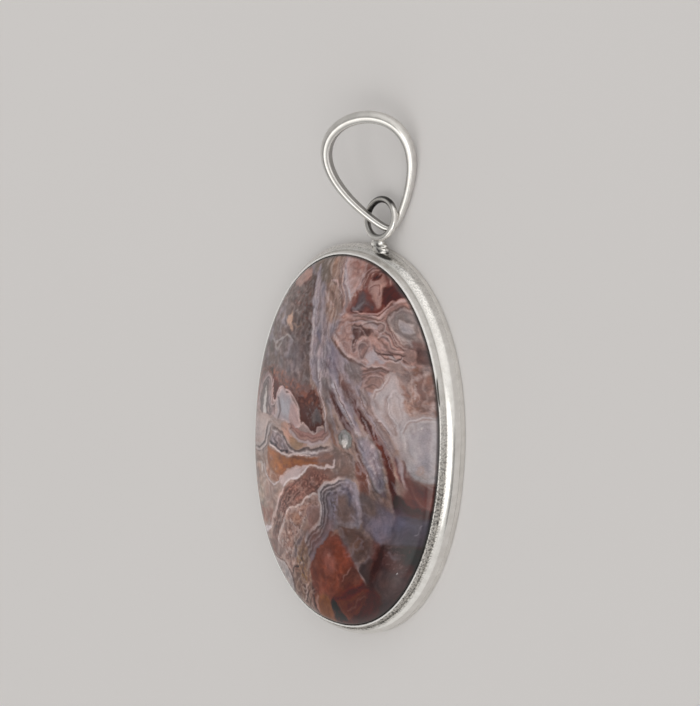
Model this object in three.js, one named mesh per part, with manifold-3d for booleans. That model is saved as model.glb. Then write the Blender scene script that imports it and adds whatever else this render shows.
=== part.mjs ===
// An agate pendant, lying on its back: an oval cabochon of crazy lace agate in a heavy silver
// setting, with a round ring on the setting's top edge and a teardrop bail linked through the ring.
// Millimetres. The stone faces +Z, and the bail lies towards +Y.

import * as THREE from 'three';
import { mergeVertices } from 'three/addons/utils/BufferGeometryUtils.js';
import Module from 'manifold-3d';

const wasm = await Module();
wasm.setup();

// The oval is the line where the dome of the stone meets the lip of the setting. It is a little
// squarer than an ellipse, whose squareness would be 2.
const ovalHalfWidth = 15.07;
const ovalHalfLength = 21.0;
const ovalSquareness = 2.14;
const ovalSteps = 96;

// Heights over the surface that the back lies on.
const plateThickness = 0.7;
const lipHeight = 2.9;
const creaseHeight = 2.25;
const shoulderHeight = 1.65;
const shoulderSteps = 3;

// How far the parts of the setting stand outside the oval.
const lipInside = 0.08;
const lipOutside = 0.34;
const creaseOutside = 0.5;
const shoulderStart = 0.58;
const wallOutside = 1.3;
const seatOutside = 0.38;
const plateEdgeBevel = 0.12;

// The stone: a low dome that falls off steeply at its edge, and a girdle hidden in the setting.
const domeRise = 3.4;
const domeFullness = 2.2;
const domeSteps = 10;
const girdleOutside = 0.22;
const girdleTop = 1.9;
const stoneUnderside = 0.8;
const stoneBackBevel = 0.3;

// The ring of round wire, which droops a little from a short foot soldered to the wall.
const ringRadius = 2.15;
const ringWireRadius = 0.37;
const ringDroop = 9.5;
const ringCentre = new THREE.Vector3(2.08, 25.64, 1.6);
const ringSteps = 40;
const ringSectionSteps = 12;
const footTopRadius = 0.46;
const footBaseRadius = 1.0;
const footFlatness = 0.75;
const footLength = 1.8;
const footSlope = 24;
const footSides = 20;
const solderGap = 0.1;

// The bail: a teardrop of wire that is narrow at the link and broad at the top. It lies on its
// side edge, leaning over the ring.
const bailCentre = new THREE.Vector3(1.47, 30.62, 2.52);
const bailTilt = { aroundX: 7.4, aroundY: 26.4, inPlane: 19.5 };
const bailHalfHeight = 6.42;
const bailWidthFactor = 5.95;
const bailPoint = { power: 1.13, roundness: 0.15 };
const bailHalfThickness = { link: 0.4, top: 0.74 };
const bailHalfBreadth = { link: 0.4, top: 0.7 };
const bailInsideFlatness = 0.85;
const bailSteps = 64;
const bailSectionSteps = 12;

const silver = { color: 0xd6d3ce, metalness: 1, roughness: 0.16 };
const agate = { color: 0x8c6259, metalness: 0, roughness: 0.15 };

const rad = THREE.MathUtils.degToRad;

const pendant = new THREE.Group();

function addPiece(parent, name, geometry, finish) {
  const piece = new THREE.Mesh(geometry, new THREE.MeshStandardMaterial(finish));
  piece.name = name;
  parent.add(piece);
  return piece;
}

// Closes a geometry: points that stand in one place become one point.
function closed(geometry) {
  geometry.deleteAttribute('normal');
  geometry.deleteAttribute('uv');
  const welded = mergeVertices(geometry);
  welded.computeVertexNormals();
  return welded;
}

// The oval itself

function signedPower(value, power) {
  return Math.sign(value) * Math.abs(value) ** power;
}

function ovalPoint(angle) {
  const x = ovalHalfWidth * signedPower(Math.cos(angle), 2 / ovalSquareness);
  const y = ovalHalfLength * signedPower(Math.sin(angle), 2 / ovalSquareness);
  return new THREE.Vector2(x, y);
}

function ovalOutward(point) {
  const x = signedPower(point.x / ovalHalfWidth, ovalSquareness - 1) / ovalHalfWidth;
  const y = signedPower(point.y / ovalHalfLength, ovalSquareness - 1) / ovalHalfLength;
  return new THREE.Vector2(x, y).normalize();
}

// Turns a profile round the axis and then lays it on the oval. A profile point is a distance
// outside the oval and a height. A point inside moves in towards the centre in proportion, and
// one outside keeps its distance all the way round.
function turnedOnOval(profile) {
  const points = profile.map(([outside, height]) => new THREE.Vector2(ovalHalfWidth + outside, height));
  const turned = new THREE.LatheGeometry(points, ovalSteps);
  const place = turned.getAttribute('position');
  for (let i = 0; i < place.count; i++) {
    const reach = Math.hypot(place.getX(i), place.getZ(i));
    const edge = ovalPoint(Math.atan2(place.getX(i), place.getZ(i)));
    const outside = Math.max(reach - ovalHalfWidth, 0);
    const share = Math.min(reach / ovalHalfWidth, 1);
    const point = edge.clone().multiplyScalar(share).addScaledVector(ovalOutward(edge), outside);
    place.setXYZ(i, point.x, point.y, place.getY(i));
  }
  return closed(turned);
}

const onAxis = -ovalHalfWidth;

// The stone, from the middle of its back round the girdle to the top of the dome.

const stoneProfile = [
  [onAxis, stoneUnderside],
  [girdleOutside - stoneBackBevel, stoneUnderside],
  [girdleOutside, stoneUnderside + stoneBackBevel],
  [girdleOutside, girdleTop],
];
for (let i = 0; i <= domeSteps; i++) {
  const rise = Math.sin((i / domeSteps) * Math.PI / 2);
  const share = (1 - rise ** 3) ** (1 / domeFullness);
  stoneProfile.push([(share - 1) * ovalHalfWidth, lipHeight + domeRise * rise ** 2]);
}
addPiece(pendant, 'agate_cabochon', turnedOnOval(stoneProfile), agate);

// The setting: a thick wall with a rounded shoulder, a crease, and a thin lip that is pressed
// over the edge of the stone. The wall stands on the back plate.

const bezelProfile = [
  [wallOutside, plateThickness],
  [wallOutside, shoulderHeight],
];
for (let i = 1; i <= shoulderSteps; i++) {
  const turn = (i / shoulderSteps) * Math.PI / 2;
  const outside = shoulderStart + (wallOutside - shoulderStart) * Math.cos(turn);
  const height = shoulderHeight + (creaseHeight - shoulderHeight) * Math.sin(turn);
  bezelProfile.push([outside, height]);
}
bezelProfile.push(
  [creaseOutside, creaseHeight],
  [lipOutside, lipHeight],
  [lipInside, lipHeight],
  [seatOutside, girdleTop],
  [seatOutside, plateThickness],
  [wallOutside, plateThickness],
);
addPiece(pendant, 'bezel', turnedOnOval(bezelProfile), silver);

addPiece(pendant, 'back_plate', turnedOnOval([
  [onAxis, 0],
  [wallOutside - plateEdgeBevel, 0],
  [wallOutside, plateEdgeBevel],
  [wallOutside, plateThickness],
  [onAxis, plateThickness],
]), silver);

// The ring and its foot, joined in one solid. The foot stops just short of the wall, along the
// wall's own curve.

function solid(geometry) {
  const vertProperties = geometry.getAttribute('position').array;
  const triVerts = new Uint32Array(geometry.getIndex().array);
  return new wasm.Manifold(new wasm.Mesh({ numProp: 3, vertProperties, triVerts }));
}

function geometryOf(manifold) {
  const { vertProperties, triVerts } = manifold.getMesh();
  const geometry = new THREE.BufferGeometry();
  geometry.setAttribute('position', new THREE.BufferAttribute(vertProperties, 3));
  geometry.setIndex(new THREE.BufferAttribute(triVerts, 1));
  geometry.computeVertexNormals();
  return geometry;
}

const ring = new THREE.TorusGeometry(ringRadius, ringWireRadius, ringSectionSteps, ringSteps);
ring.rotateX(-rad(ringDroop));
ring.translate(...ringCentre);

const ringNearSide = new THREE.Vector3(0, -ringRadius, 0);
ringNearSide.applyAxisAngle(new THREE.Vector3(1, 0, 0), -rad(ringDroop)).add(ringCentre);
const foot = new THREE.CylinderGeometry(footTopRadius, footBaseRadius, footLength, footSides);
foot.scale(1, 1, footFlatness);
foot.translate(0, -footLength / 2, 0);
foot.rotateX(rad(footSlope));
foot.translate(...ringNearSide);

const wallBlock = turnedOnOval([
  [onAxis, 0],
  [wallOutside + solderGap, 0],
  [wallOutside + solderGap, lipHeight],
  [onAxis, lipHeight],
]);
const ringAndFoot = solid(closed(ring)).add(solid(closed(foot))).subtract(solid(wallBlock));
addPiece(pendant, 'hanging_ring', geometryOf(ringAndFoot), silver);

// The bail. A torus gives it its vertices, and each is laid again: round the teardrop by its
// place round the torus, and across the wire by its place round the tube. The wire is rounded
// outside and flatter inside.

function teardrop(turn) {
  const { power, roundness } = bailPoint;
  const swell = (Math.sin(turn / 2) ** 2 + roundness) ** (power / 2);
  return new THREE.Vector2(bailWidthFactor * Math.sin(turn) * swell, -bailHalfHeight * Math.cos(turn));
}

function bailGeometry() {
  const torusRadius = 2;
  const smallTurn = 0.001;
  const torus = new THREE.TorusGeometry(torusRadius, 1, bailSectionSteps, bailSteps);
  const place = torus.getAttribute('position');
  for (let i = 0; i < place.count; i++) {
    const turn = Math.atan2(place.getY(i), place.getX(i));
    const across = Math.hypot(place.getX(i), place.getY(i)) - torusRadius;
    const upTheBail = Math.sin(turn / 2) ** 2;
    const thickness = THREE.MathUtils.lerp(bailHalfThickness.link, bailHalfThickness.top, upTheBail);
    const breadth = THREE.MathUtils.lerp(bailHalfBreadth.link, bailHalfBreadth.top, upTheBail);
    const along = teardrop(turn + smallTurn).sub(teardrop(turn - smallTurn)).normalize();
    const outward = new THREE.Vector2(along.y, -along.x);
    const reach = across * thickness * (across < 0 ? bailInsideFlatness : 1);
    const point = teardrop(turn).addScaledVector(outward, reach);
    place.setXYZ(i, point.x, point.y, place.getZ(i) * breadth);
  }
  return closed(torus);
}

const bail = addPiece(pendant, 'bail', bailGeometry(), silver);
bail.rotation.set(rad(bailTilt.aroundX), rad(bailTilt.aroundY), rad(bailTilt.inPlane), 'YXZ');
bail.position.copy(bailCentre);

// The origin is in the middle of the whole pendant, on the surface that it lies on.

pendant.updateMatrixWorld(true);
const box = new THREE.Box3().setFromObject(pendant, true);
pendant.position.set(-(box.min.x + box.max.x) / 2, -(box.min.y + box.max.y) / 2, -box.min.z);

export default pendant;
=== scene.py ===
import math

import bpy
import numpy as np
from mathutils import Matrix, Vector


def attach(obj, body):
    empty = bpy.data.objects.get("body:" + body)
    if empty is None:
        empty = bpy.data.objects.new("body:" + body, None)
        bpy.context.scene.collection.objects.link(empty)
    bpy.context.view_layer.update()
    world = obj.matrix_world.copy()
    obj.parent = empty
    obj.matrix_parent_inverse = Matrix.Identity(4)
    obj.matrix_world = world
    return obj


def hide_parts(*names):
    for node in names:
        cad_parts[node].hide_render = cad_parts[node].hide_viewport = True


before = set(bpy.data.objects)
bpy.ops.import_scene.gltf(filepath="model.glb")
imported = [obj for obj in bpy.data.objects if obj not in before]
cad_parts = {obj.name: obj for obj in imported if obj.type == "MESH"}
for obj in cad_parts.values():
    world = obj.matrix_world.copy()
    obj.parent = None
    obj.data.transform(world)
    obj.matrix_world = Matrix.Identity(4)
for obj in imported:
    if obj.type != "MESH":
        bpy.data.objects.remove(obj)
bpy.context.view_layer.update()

# The view: the camera stands to the right of the pendant and looks down on it with a long lens.
# Sizes here and in every section are millimetres, and MM turns them into Blender's metres.

MM = 0.001
OVAL_MIDDLE = Vector((0, -7.7006, 0))

sight_tilt = math.radians(48)
sight_turn = math.radians(16)
sight_roll = math.radians(7.13)
sight_length = 420
aim_right, aim_up = -1.552, 9.605

to_camera = Vector((math.sin(sight_tilt) * math.cos(sight_turn),
                    math.sin(sight_tilt) * math.sin(sight_turn), math.cos(sight_tilt)))
level = Vector((-math.sin(sight_turn), math.cos(sight_turn), 0))
picture_up = level * math.cos(sight_roll) + level.cross(to_camera) * math.sin(sight_roll)
picture_right = picture_up.cross(to_camera)
aim = OVAL_MIDDLE + picture_right * aim_right + picture_up * aim_up

bpy.ops.object.select_all(action='DESELECT')
bpy.ops.object.camera_add()
camera = bpy.context.object
camera.matrix_world = Matrix.Translation((aim + to_camera * sight_length) * MM) @ Matrix(
    (picture_right, picture_up, to_camera)).transposed().to_4x4()
camera.data.sensor_fit = 'HORIZONTAL'
camera.data.sensor_width, camera.data.lens = 36, 191.4
camera.data.clip_start, camera.data.clip_end = 0.01, 20
bpy.context.scene.camera = camera

# The floor and the light: a plain pale floor, one large window that faces the pendant's top, and a
# pale room. The brighter and darker parts of the room are what the silver shows as its bands.


def adder(tree):
    """A short way to add nodes to a tree: their kind, their settings, and what their sockets get."""

    def add(kind, settings=None, **sockets):
        new = tree.nodes.new('ShaderNode' + kind)
        for name, value in (settings or {}).items():
            setattr(new, name, value)
        for name, value in sockets.items():
            socket = new.inputs[int(name[1:]) if name[1:].isdigit() else name]
            if isinstance(value, bpy.types.NodeSocket):
                tree.links.new(value, socket)
            else:
                socket.default_value = value
        return new

    return add


def shader(material_name):
    """A material with its shader, a short way to add nodes, and one to join them to the shader."""
    material = bpy.data.materials.new(material_name)
    material.use_nodes = True
    tree = material.node_tree
    surface = tree.nodes['Principled BSDF']

    def join(output, name):
        tree.links.new(output, surface.inputs[name])

    return material, surface, adder(tree), join


def two_tones(add, value, low, high, start=0.0, end=1.0):
    """Colour that goes from low to high while a value goes from start to end."""
    ramp = add('ValToRGB', Fac=value)
    for element, place, colour in zip(ramp.color_ramp.elements, (start, end), (low, high)):
        element.position, element.color = place, (*colour, 1)
    return ramp.outputs['Color']


def carried(add, value, start, end, low=0.0, high=1.0, eased=False):
    """A number that goes from low to high while a value goes from start to end."""
    limits = dict(zip(('From Min', 'From Max', 'To Min', 'To Max'), (start, end, low, high)))
    kind = {'interpolation_type': 'SMOOTHSTEP' if eased else 'LINEAR'}
    return add('MapRange', kind, Value=value, **limits).outputs['Result']


floor_material, floor_surface, add, join = shader('pale_floor')
clouds = add('TexNoise', Vector=add('TexCoord').outputs['Object'], Scale=14.0, Detail=3.0)
join(two_tones(add, clouds.outputs['Fac'], (0.745, 0.727, 0.722), (0.775, 0.757, 0.752)), 'Base Color')
floor_surface.inputs['Roughness'].default_value = 0.6
floor_surface.inputs['Specular IOR Level'].default_value = 0.2

floor_size, floor_gap = 4, 0.02
bpy.ops.mesh.primitive_plane_add(size=floor_size, location=(0, 0, -floor_gap * MM))
floor = bpy.context.object
floor.name = 'floor'
floor.data.materials.append(floor_material)

window_from, window_away = Vector((0.15, 0.9, 0.4)), 1.2
window_size, window_glow = 0.9, 0.4
bpy.ops.object.light_add(type='AREA')
window = bpy.context.object
window.name = 'window_light'
window.data.shape = 'SQUARE'
window.data.size = window_size
window.data.energy = window_glow * math.pi * window_size ** 2
window.location = OVAL_MIDDLE * MM + window_from.normalized() * window_away
window.rotation_mode = 'QUATERNION'
window.rotation_quaternion = window_from.to_track_quat('Z', 'Y')

room = bpy.data.worlds.new('pale_room')
bpy.context.scene.world = room
bpy.context.scene.view_settings.view_transform = 'Standard'
room.use_nodes = True
sky = room.node_tree.nodes['Background']
sky.inputs['Color'].default_value = (1, 0.985, 0.96, 1)
add = adder(room.node_tree)
look = add('TexCoord').outputs['Generated']
brightness, darkest = 0.475, 0.03
# each part of the room: the way to it, the cosines where it starts and is full, and its change
for way, start, full, change in (
        ((0.67, -0.2, 0.71), 0.93, 0.975, 1.15), ((0.45, 0.75, 0.5), 0.7, 0.97, 0.25),
        ((0.07, -0.43, 0.9), 0.92, 0.98, 0.6), ((0.25, -0.9, 0.35), 0.4, 0.95, 0.3),
        ((-0.97, -0.15, 0.12), 0.9, 0.98, 0.35), ((0.9, 0.3, 0.45), 0.6, 0.95, 0.35),
        ((0.95, -0.28, 0.08), 0.93, 0.98, -0.4), ((-0.3, -0.41, 0.86), 0.95, 0.99, -0.2),
        ((-0.46, -0.64, 0.62), 0.92, 0.985, -0.2)):
    facing = add('VectorMath', {'operation': 'DOT_PRODUCT'}, i0=look, i1=Vector(way).normalized())
    part = carried(add, facing.outputs['Value'], start, full, 0.0, change, eased=True)
    brightness = add('Math', {'operation': 'ADD'}, i0=brightness, i1=part).outputs['Value']
never_dark = add('Math', {'operation': 'MAXIMUM'}, i0=brightness, i1=darkest)
room.node_tree.links.new(never_dark.outputs['Value'], sky.inputs['Strength'])

# The stone: a low oval dome of crazy lace agate, sawn flat behind, ground on a wheel and polished.
# Its girdle stands in the setting, and only the dome shows.

oval_half_width, oval_half_length, oval_squareness = 15.07, 21.0, 2.14
lip_height = 2.9
dome_rise, dome_fullness = 3.4, 2.2
cells_across, cells_along = 210, 400
edge_zone = 0.06


def on_oval(x, y):
    """Points of the unit disc laid on the oval that the dome's edge follows."""
    reach = np.hypot(x, y)
    far = np.maximum(reach, 1e-9)
    spread = np.abs(x / far) ** oval_squareness + np.abs(y / far) ** oval_squareness
    share = np.maximum(spread, 1e-9) ** (-1 / oval_squareness)
    return x * share * oval_half_width, y * share * oval_half_length


def points_of(piece):
    """The x, y and z of every point of a piece, as its mesh holds them."""
    place = np.empty(len(piece.data.vertices) * 3)
    piece.data.vertices.foreach_get('co', place)
    return place.reshape(-1, 3).T


def set_points(piece, x, y, z):
    """Sets every point of a piece, in millimetres from the oval's middle."""
    place = np.column_stack((x + OVAL_MIDDLE.x, y + OVAL_MIDDLE.y, z)) * MM
    piece.data.vertices.foreach_set('co', place.ravel())
    piece.data.update()


def next_ring(outside, height, last):
    """Pulls the selected ring out of the last one, to its distance outside the oval and its height."""
    last_outside, last_height = last
    wider = (oval_half_width + outside) / (oval_half_width + last_outside)
    longer = (oval_half_length + outside) / (oval_half_length + last_outside)
    bpy.ops.mesh.extrude_edges_move(
        TRANSFORM_OT_translate={'value': (0, 0, (height - last_height) * MM)})
    bpy.ops.transform.resize(value=(wider, longer, 1), center_override=OVAL_MIDDLE * MM)
    return outside, height


def rings(profile):
    """Pulls ring after ring out of the selected one, which is the first of the profile."""
    last = profile[0]
    for outside, height in profile[1:]:
        last = next_ring(outside, height, last)


def finish_mesh():
    """Turns all faces outwards, leaves edit mode, and smooths all but the sharp edges."""
    bpy.ops.mesh.select_all(action='SELECT')
    bpy.ops.mesh.normals_make_consistent(inside=False)
    bpy.ops.object.mode_set(mode='OBJECT')
    bpy.ops.object.shade_smooth_by_angle(angle=math.radians(40))


bpy.ops.object.select_all(action='DESELECT')
bpy.ops.mesh.primitive_grid_add(x_subdivisions=cells_across, y_subdivisions=cells_along, size=2)
stone = bpy.context.object
stone.name = 'agate_dome'
across, along, _ = points_of(stone)
disc_x, disc_y = across * np.sqrt(1 - along ** 2 / 2), along * np.sqrt(1 - across ** 2 / 2)
reach = np.clip(np.hypot(disc_x, disc_y), 1e-9, 1)
inward = 1 - reach
laid = np.clip(1 - inward * np.sqrt(inward * (1 + edge_zone) / (inward + edge_zone)), 0, 1)
dome_x, dome_y = on_oval(disc_x / reach * laid, disc_y / reach * laid)
dome_z = lip_height + dome_rise * np.maximum(1 - laid ** dome_fullness, 0) ** (2 / 3)
set_points(stone, dome_x, dome_y, dome_z)

bpy.ops.object.mode_set(mode='EDIT')
bpy.ops.mesh.select_all(action='SELECT')
bpy.ops.mesh.region_to_loop()
rings([(0, lip_height), (0.1, 2.6), (0.22, 1.9), (0.22, 1.1), (-0.08, 0.8)])
bpy.ops.mesh.edge_face_add()
finish_mesh()


def bumps(x, y, size, seed):
    """Smooth noise from about -1 to 1, with bumps of the given size in millimetres."""
    turns = np.random.default_rng(seed).uniform(0, 2 * np.pi, (64, 64))
    x, y = x / size + 31.7, y / size + 17.3
    left, low = np.floor(x).astype(int), np.floor(y).astype(int)
    right, up = x - left, y - low
    ease_x, ease_y = (t * t * t * (t * (t * 6 - 15) + 10) for t in (right, up))

    def corner(i, j):
        turn = turns[(left + i) % 64, (low + j) % 64]
        return np.cos(turn) * (right - i) + np.sin(turn) * (up - j)

    near_side = corner(0, 0) * (1 - ease_x) + corner(1, 0) * ease_x
    far_side = corner(0, 1) * (1 - ease_x) + corner(1, 1) * ease_x
    return 1.5 * (near_side * (1 - ease_y) + far_side * ease_y)


def tone(red, green, blue):
    """A colour as the eye reads it in print, 0 to 255, as linear light."""
    c = np.array((red, green, blue)) / 255
    return np.where(c <= 0.04045, c / 12.92, ((c + 0.055) / 1.055) ** 2.4)


class Painting:
    """The stone's face while its bands are laid on it, in millimetres from the oval's middle."""

    def __init__(self, x, y):
        self.x, self.y = (
            place + 0.17 * bumps(x, y, 1.7, seed) + 0.13 * bumps(x, y, 0.8, seed + 2)
            + 0.05 * bumps(x, y, 0.4, seed + 6) for place, seed in ((x, 3), (y, 4)))
        self.fray = bumps(x, y, 0.55, 7) + 0.6 * bumps(x, y, 0.23, 8)
        self.light = np.zeros((len(x), 3))

    def path(self, points, closed):
        """A smooth curve through the points, as a line of short steps."""
        p = np.array(points, float)
        ends = (p[-1:], p[:2]) if closed else (2 * p[:1] - p[1:2], 2 * p[-1:] - p[-2:-1])
        p = np.vstack((ends[0], p, ends[1]))
        pieces = []
        for a, b, c, d in zip(p, p[1:], p[2:], p[3:]):
            steps = max(2, int(np.hypot(*(c - b)) / 0.3) + 1)
            t = np.linspace(0, 1, steps, endpoint=False)[:, None]
            pieces.append(0.5 * (2 * b + (c - a) * t + (2 * a - 5 * b + 4 * c - d) * t ** 2
                                 + (3 * b - a - 3 * c + d) * t ** 3))
        line = np.vstack(pieces)
        last = line[:1] if closed else p[-2:-1]
        return np.vstack((line, last))

    def near(self, line, reach):
        """The points within reach of a line: how far, on which side, how far along, and if inside it."""
        low, high = line.min(0) - reach, line.max(0) + reach
        i = np.flatnonzero((self.x > low[0]) & (self.x < high[0])
                           & (self.y > low[1]) & (self.y < high[1]))
        px, py = self.x[i], self.y[i]
        best = np.full(len(i), 1e9)
        side, along = np.ones(len(i)), np.zeros(len(i))
        inside = np.zeros(len(i), bool)
        run = np.concatenate(([0], np.cumsum(np.hypot(*np.diff(line, axis=0).T))))
        for k, ((ax, ay), (bx, by)) in enumerate(zip(line, line[1:])):
            dx, dy = bx - ax, by - ay
            long = dx * dx + dy * dy
            if long < 1e-12:
                continue
            t = np.clip(((px - ax) * dx + (py - ay) * dy) / long, 0, 1)
            away = (px - ax - t * dx) ** 2 + (py - ay - t * dy) ** 2
            closer = away < best
            best = np.where(closer, away, best)
            side = np.where(closer, np.sign(dx * (py - ay) - dy * (px - ax)), side)
            along = np.where(closer, run[k] + t * (run[k + 1] - run[k]), along)
            if ay != by:
                inside ^= ((ay > py) != (by > py)) & (px < ax + (py - ay) * dx / dy)
        return i, np.sqrt(best), side, along / run[-1], inside

    def depth_in(self, outline, reach):
        """How deep each point near a closed outline lies inside it."""
        i, far, _, _, inside = self.near(self.path(outline, True), reach)
        return i, np.where(inside, far, -far)

    def colours(self, tones, at):
        """One colour for all, or colours that change with the distance they are given at."""
        if isinstance(tones, list):
            stops = np.array([tone(*colour) for _, colour in tones]).T
            return np.stack([np.interp(at, [place for place, _ in tones], stop) for stop in stops], -1)
        return tone(*tones)

    def lay(self, i, cover, colour):
        cover = cover[:, None]
        self.light[i] = self.light[i] * (1 - cover) + colour * cover

    def patch(self, outline, tones, soft=0.5, rough=0.1, strength=1):
        """A closed field. Its tones can change inwards from its outline."""
        i, depth = self.depth_in(outline, soft + 2 * rough)
        depth = depth + rough * self.fray[i]
        cover = np.clip(depth / soft + 0.5, 0, 1)
        cover = cover * cover * (3 - 2 * cover) * strength
        self.lay(i, cover, self.colours(tones, depth))

    def vein(self, points, width, tones, soft=0.2, rough=0.04, strength=0.8):
        """A line that may swell and thin: one width, or widths spread evenly along it."""
        widths = np.atleast_1d(width)
        i, far, _, along, _ = self.near(self.path(points, False), widths.max() + soft + 2 * rough)
        half = np.interp(along, np.linspace(0, 1, len(widths)), widths) / 2
        cover = np.clip((half - far + rough * self.fray[i]) / soft + 0.5, 0, 1)
        self.lay(i, cover * strength, self.colours(tones, far))

    def lace(self, points, bands, soft=0.15, rough=0.05, ends=(0.15, 0.1), strength=1):
        """Bands beside each other along a line, each at its distance to the left of it."""
        first, last = bands[0][0], bands[-1][0]
        reach = max(abs(first), abs(last)) + soft + 2 * rough
        i, far, side, along, _ = self.near(self.path(points, False), reach)
        off = far * side + rough * self.fray[i]
        cover = np.clip((off - first) / soft + 0.5, 0, 1) * np.clip((last - off) / soft + 0.5, 0, 1)
        for run, end in zip((along, 1 - along), ends):
            cover *= np.clip(run / max(end, 1e-6), 0, 1)
        self.lay(i, cover * strength, self.colours(bands, off))

    def mottle(self, outline, tones, size, seed, soft=0.8, amount=0.8, low=0.1, high=0.6):
        """Cloudy spots of one tone inside a field."""
        i, depth = self.depth_in(outline, soft)
        x, y = self.x[i], self.y[i]
        cloud = bumps(x, y, size, seed) + 0.5 * bumps(x, y, size / 2.1, seed + 1)
        share = np.clip((cloud - low) / (high - low), 0, 1) * amount
        self.lay(i, np.clip(depth / soft + 0.5, 0, 1) * share, self.colours(tones, depth))

    def loops(self, outline, size, turns, seed, pale, dark, strength, run=0, stretch=1, soft=0.8):
        """Thin pale and dark lines that close in loops or, stretched, run on side by side at an angle."""
        i, depth = self.depth_in(outline, soft)
        cos_run, sin_run = np.cos(np.radians(run)), np.sin(np.radians(run))
        along = (self.x[i] * cos_run + self.y[i] * sin_run) / stretch
        across = self.y[i] * cos_run - self.x[i] * sin_run
        height = bumps(along, across, size, seed) + 0.35 * bumps(along, across, size / 2.3, seed + 1)
        wave = np.sin(2 * np.pi * turns * height)
        cover = np.clip(depth / soft + 0.5, 0, 1) * strength
        cover *= 0.55 + 0.45 * bumps(along, across, size * 0.8, seed + 2)
        self.lay(i, cover * np.clip((wave - 0.45) / 0.4, 0, 1), self.colours(pale, depth))
        self.lay(i, cover * np.clip((-wave - 0.6) / 0.3, 0, 1), self.colours(dark, depth))

    def glaze(self, x, y, reach, strength, colour=None):
        """A soft round haze that darkens or lightens what is under it, or draws it towards a colour."""
        haze = np.exp(-((self.x - x) ** 2 + (self.y - y) ** 2) / reach ** 2)[:, None] * strength
        if colour is None:
            self.light *= 1 + haze
        else:
            self.light += (tone(*colour) - self.light) * haze


white, lilac, grey_lilac = (200, 190, 190), (172, 158, 162), (146, 134, 138)
pale_pink, pink, beige = (186, 158, 152), (170, 134, 124), (160, 134, 122)
tan, olive, grey, mossy = (148, 120, 104), (124, 108, 94), (128, 116, 112), (104, 86, 80)
brown, dark_brown, red_brown = (118, 88, 78), (86, 64, 60), (122, 76, 66)
maroon, dark_maroon = (88, 50, 46), (66, 36, 34)


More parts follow.
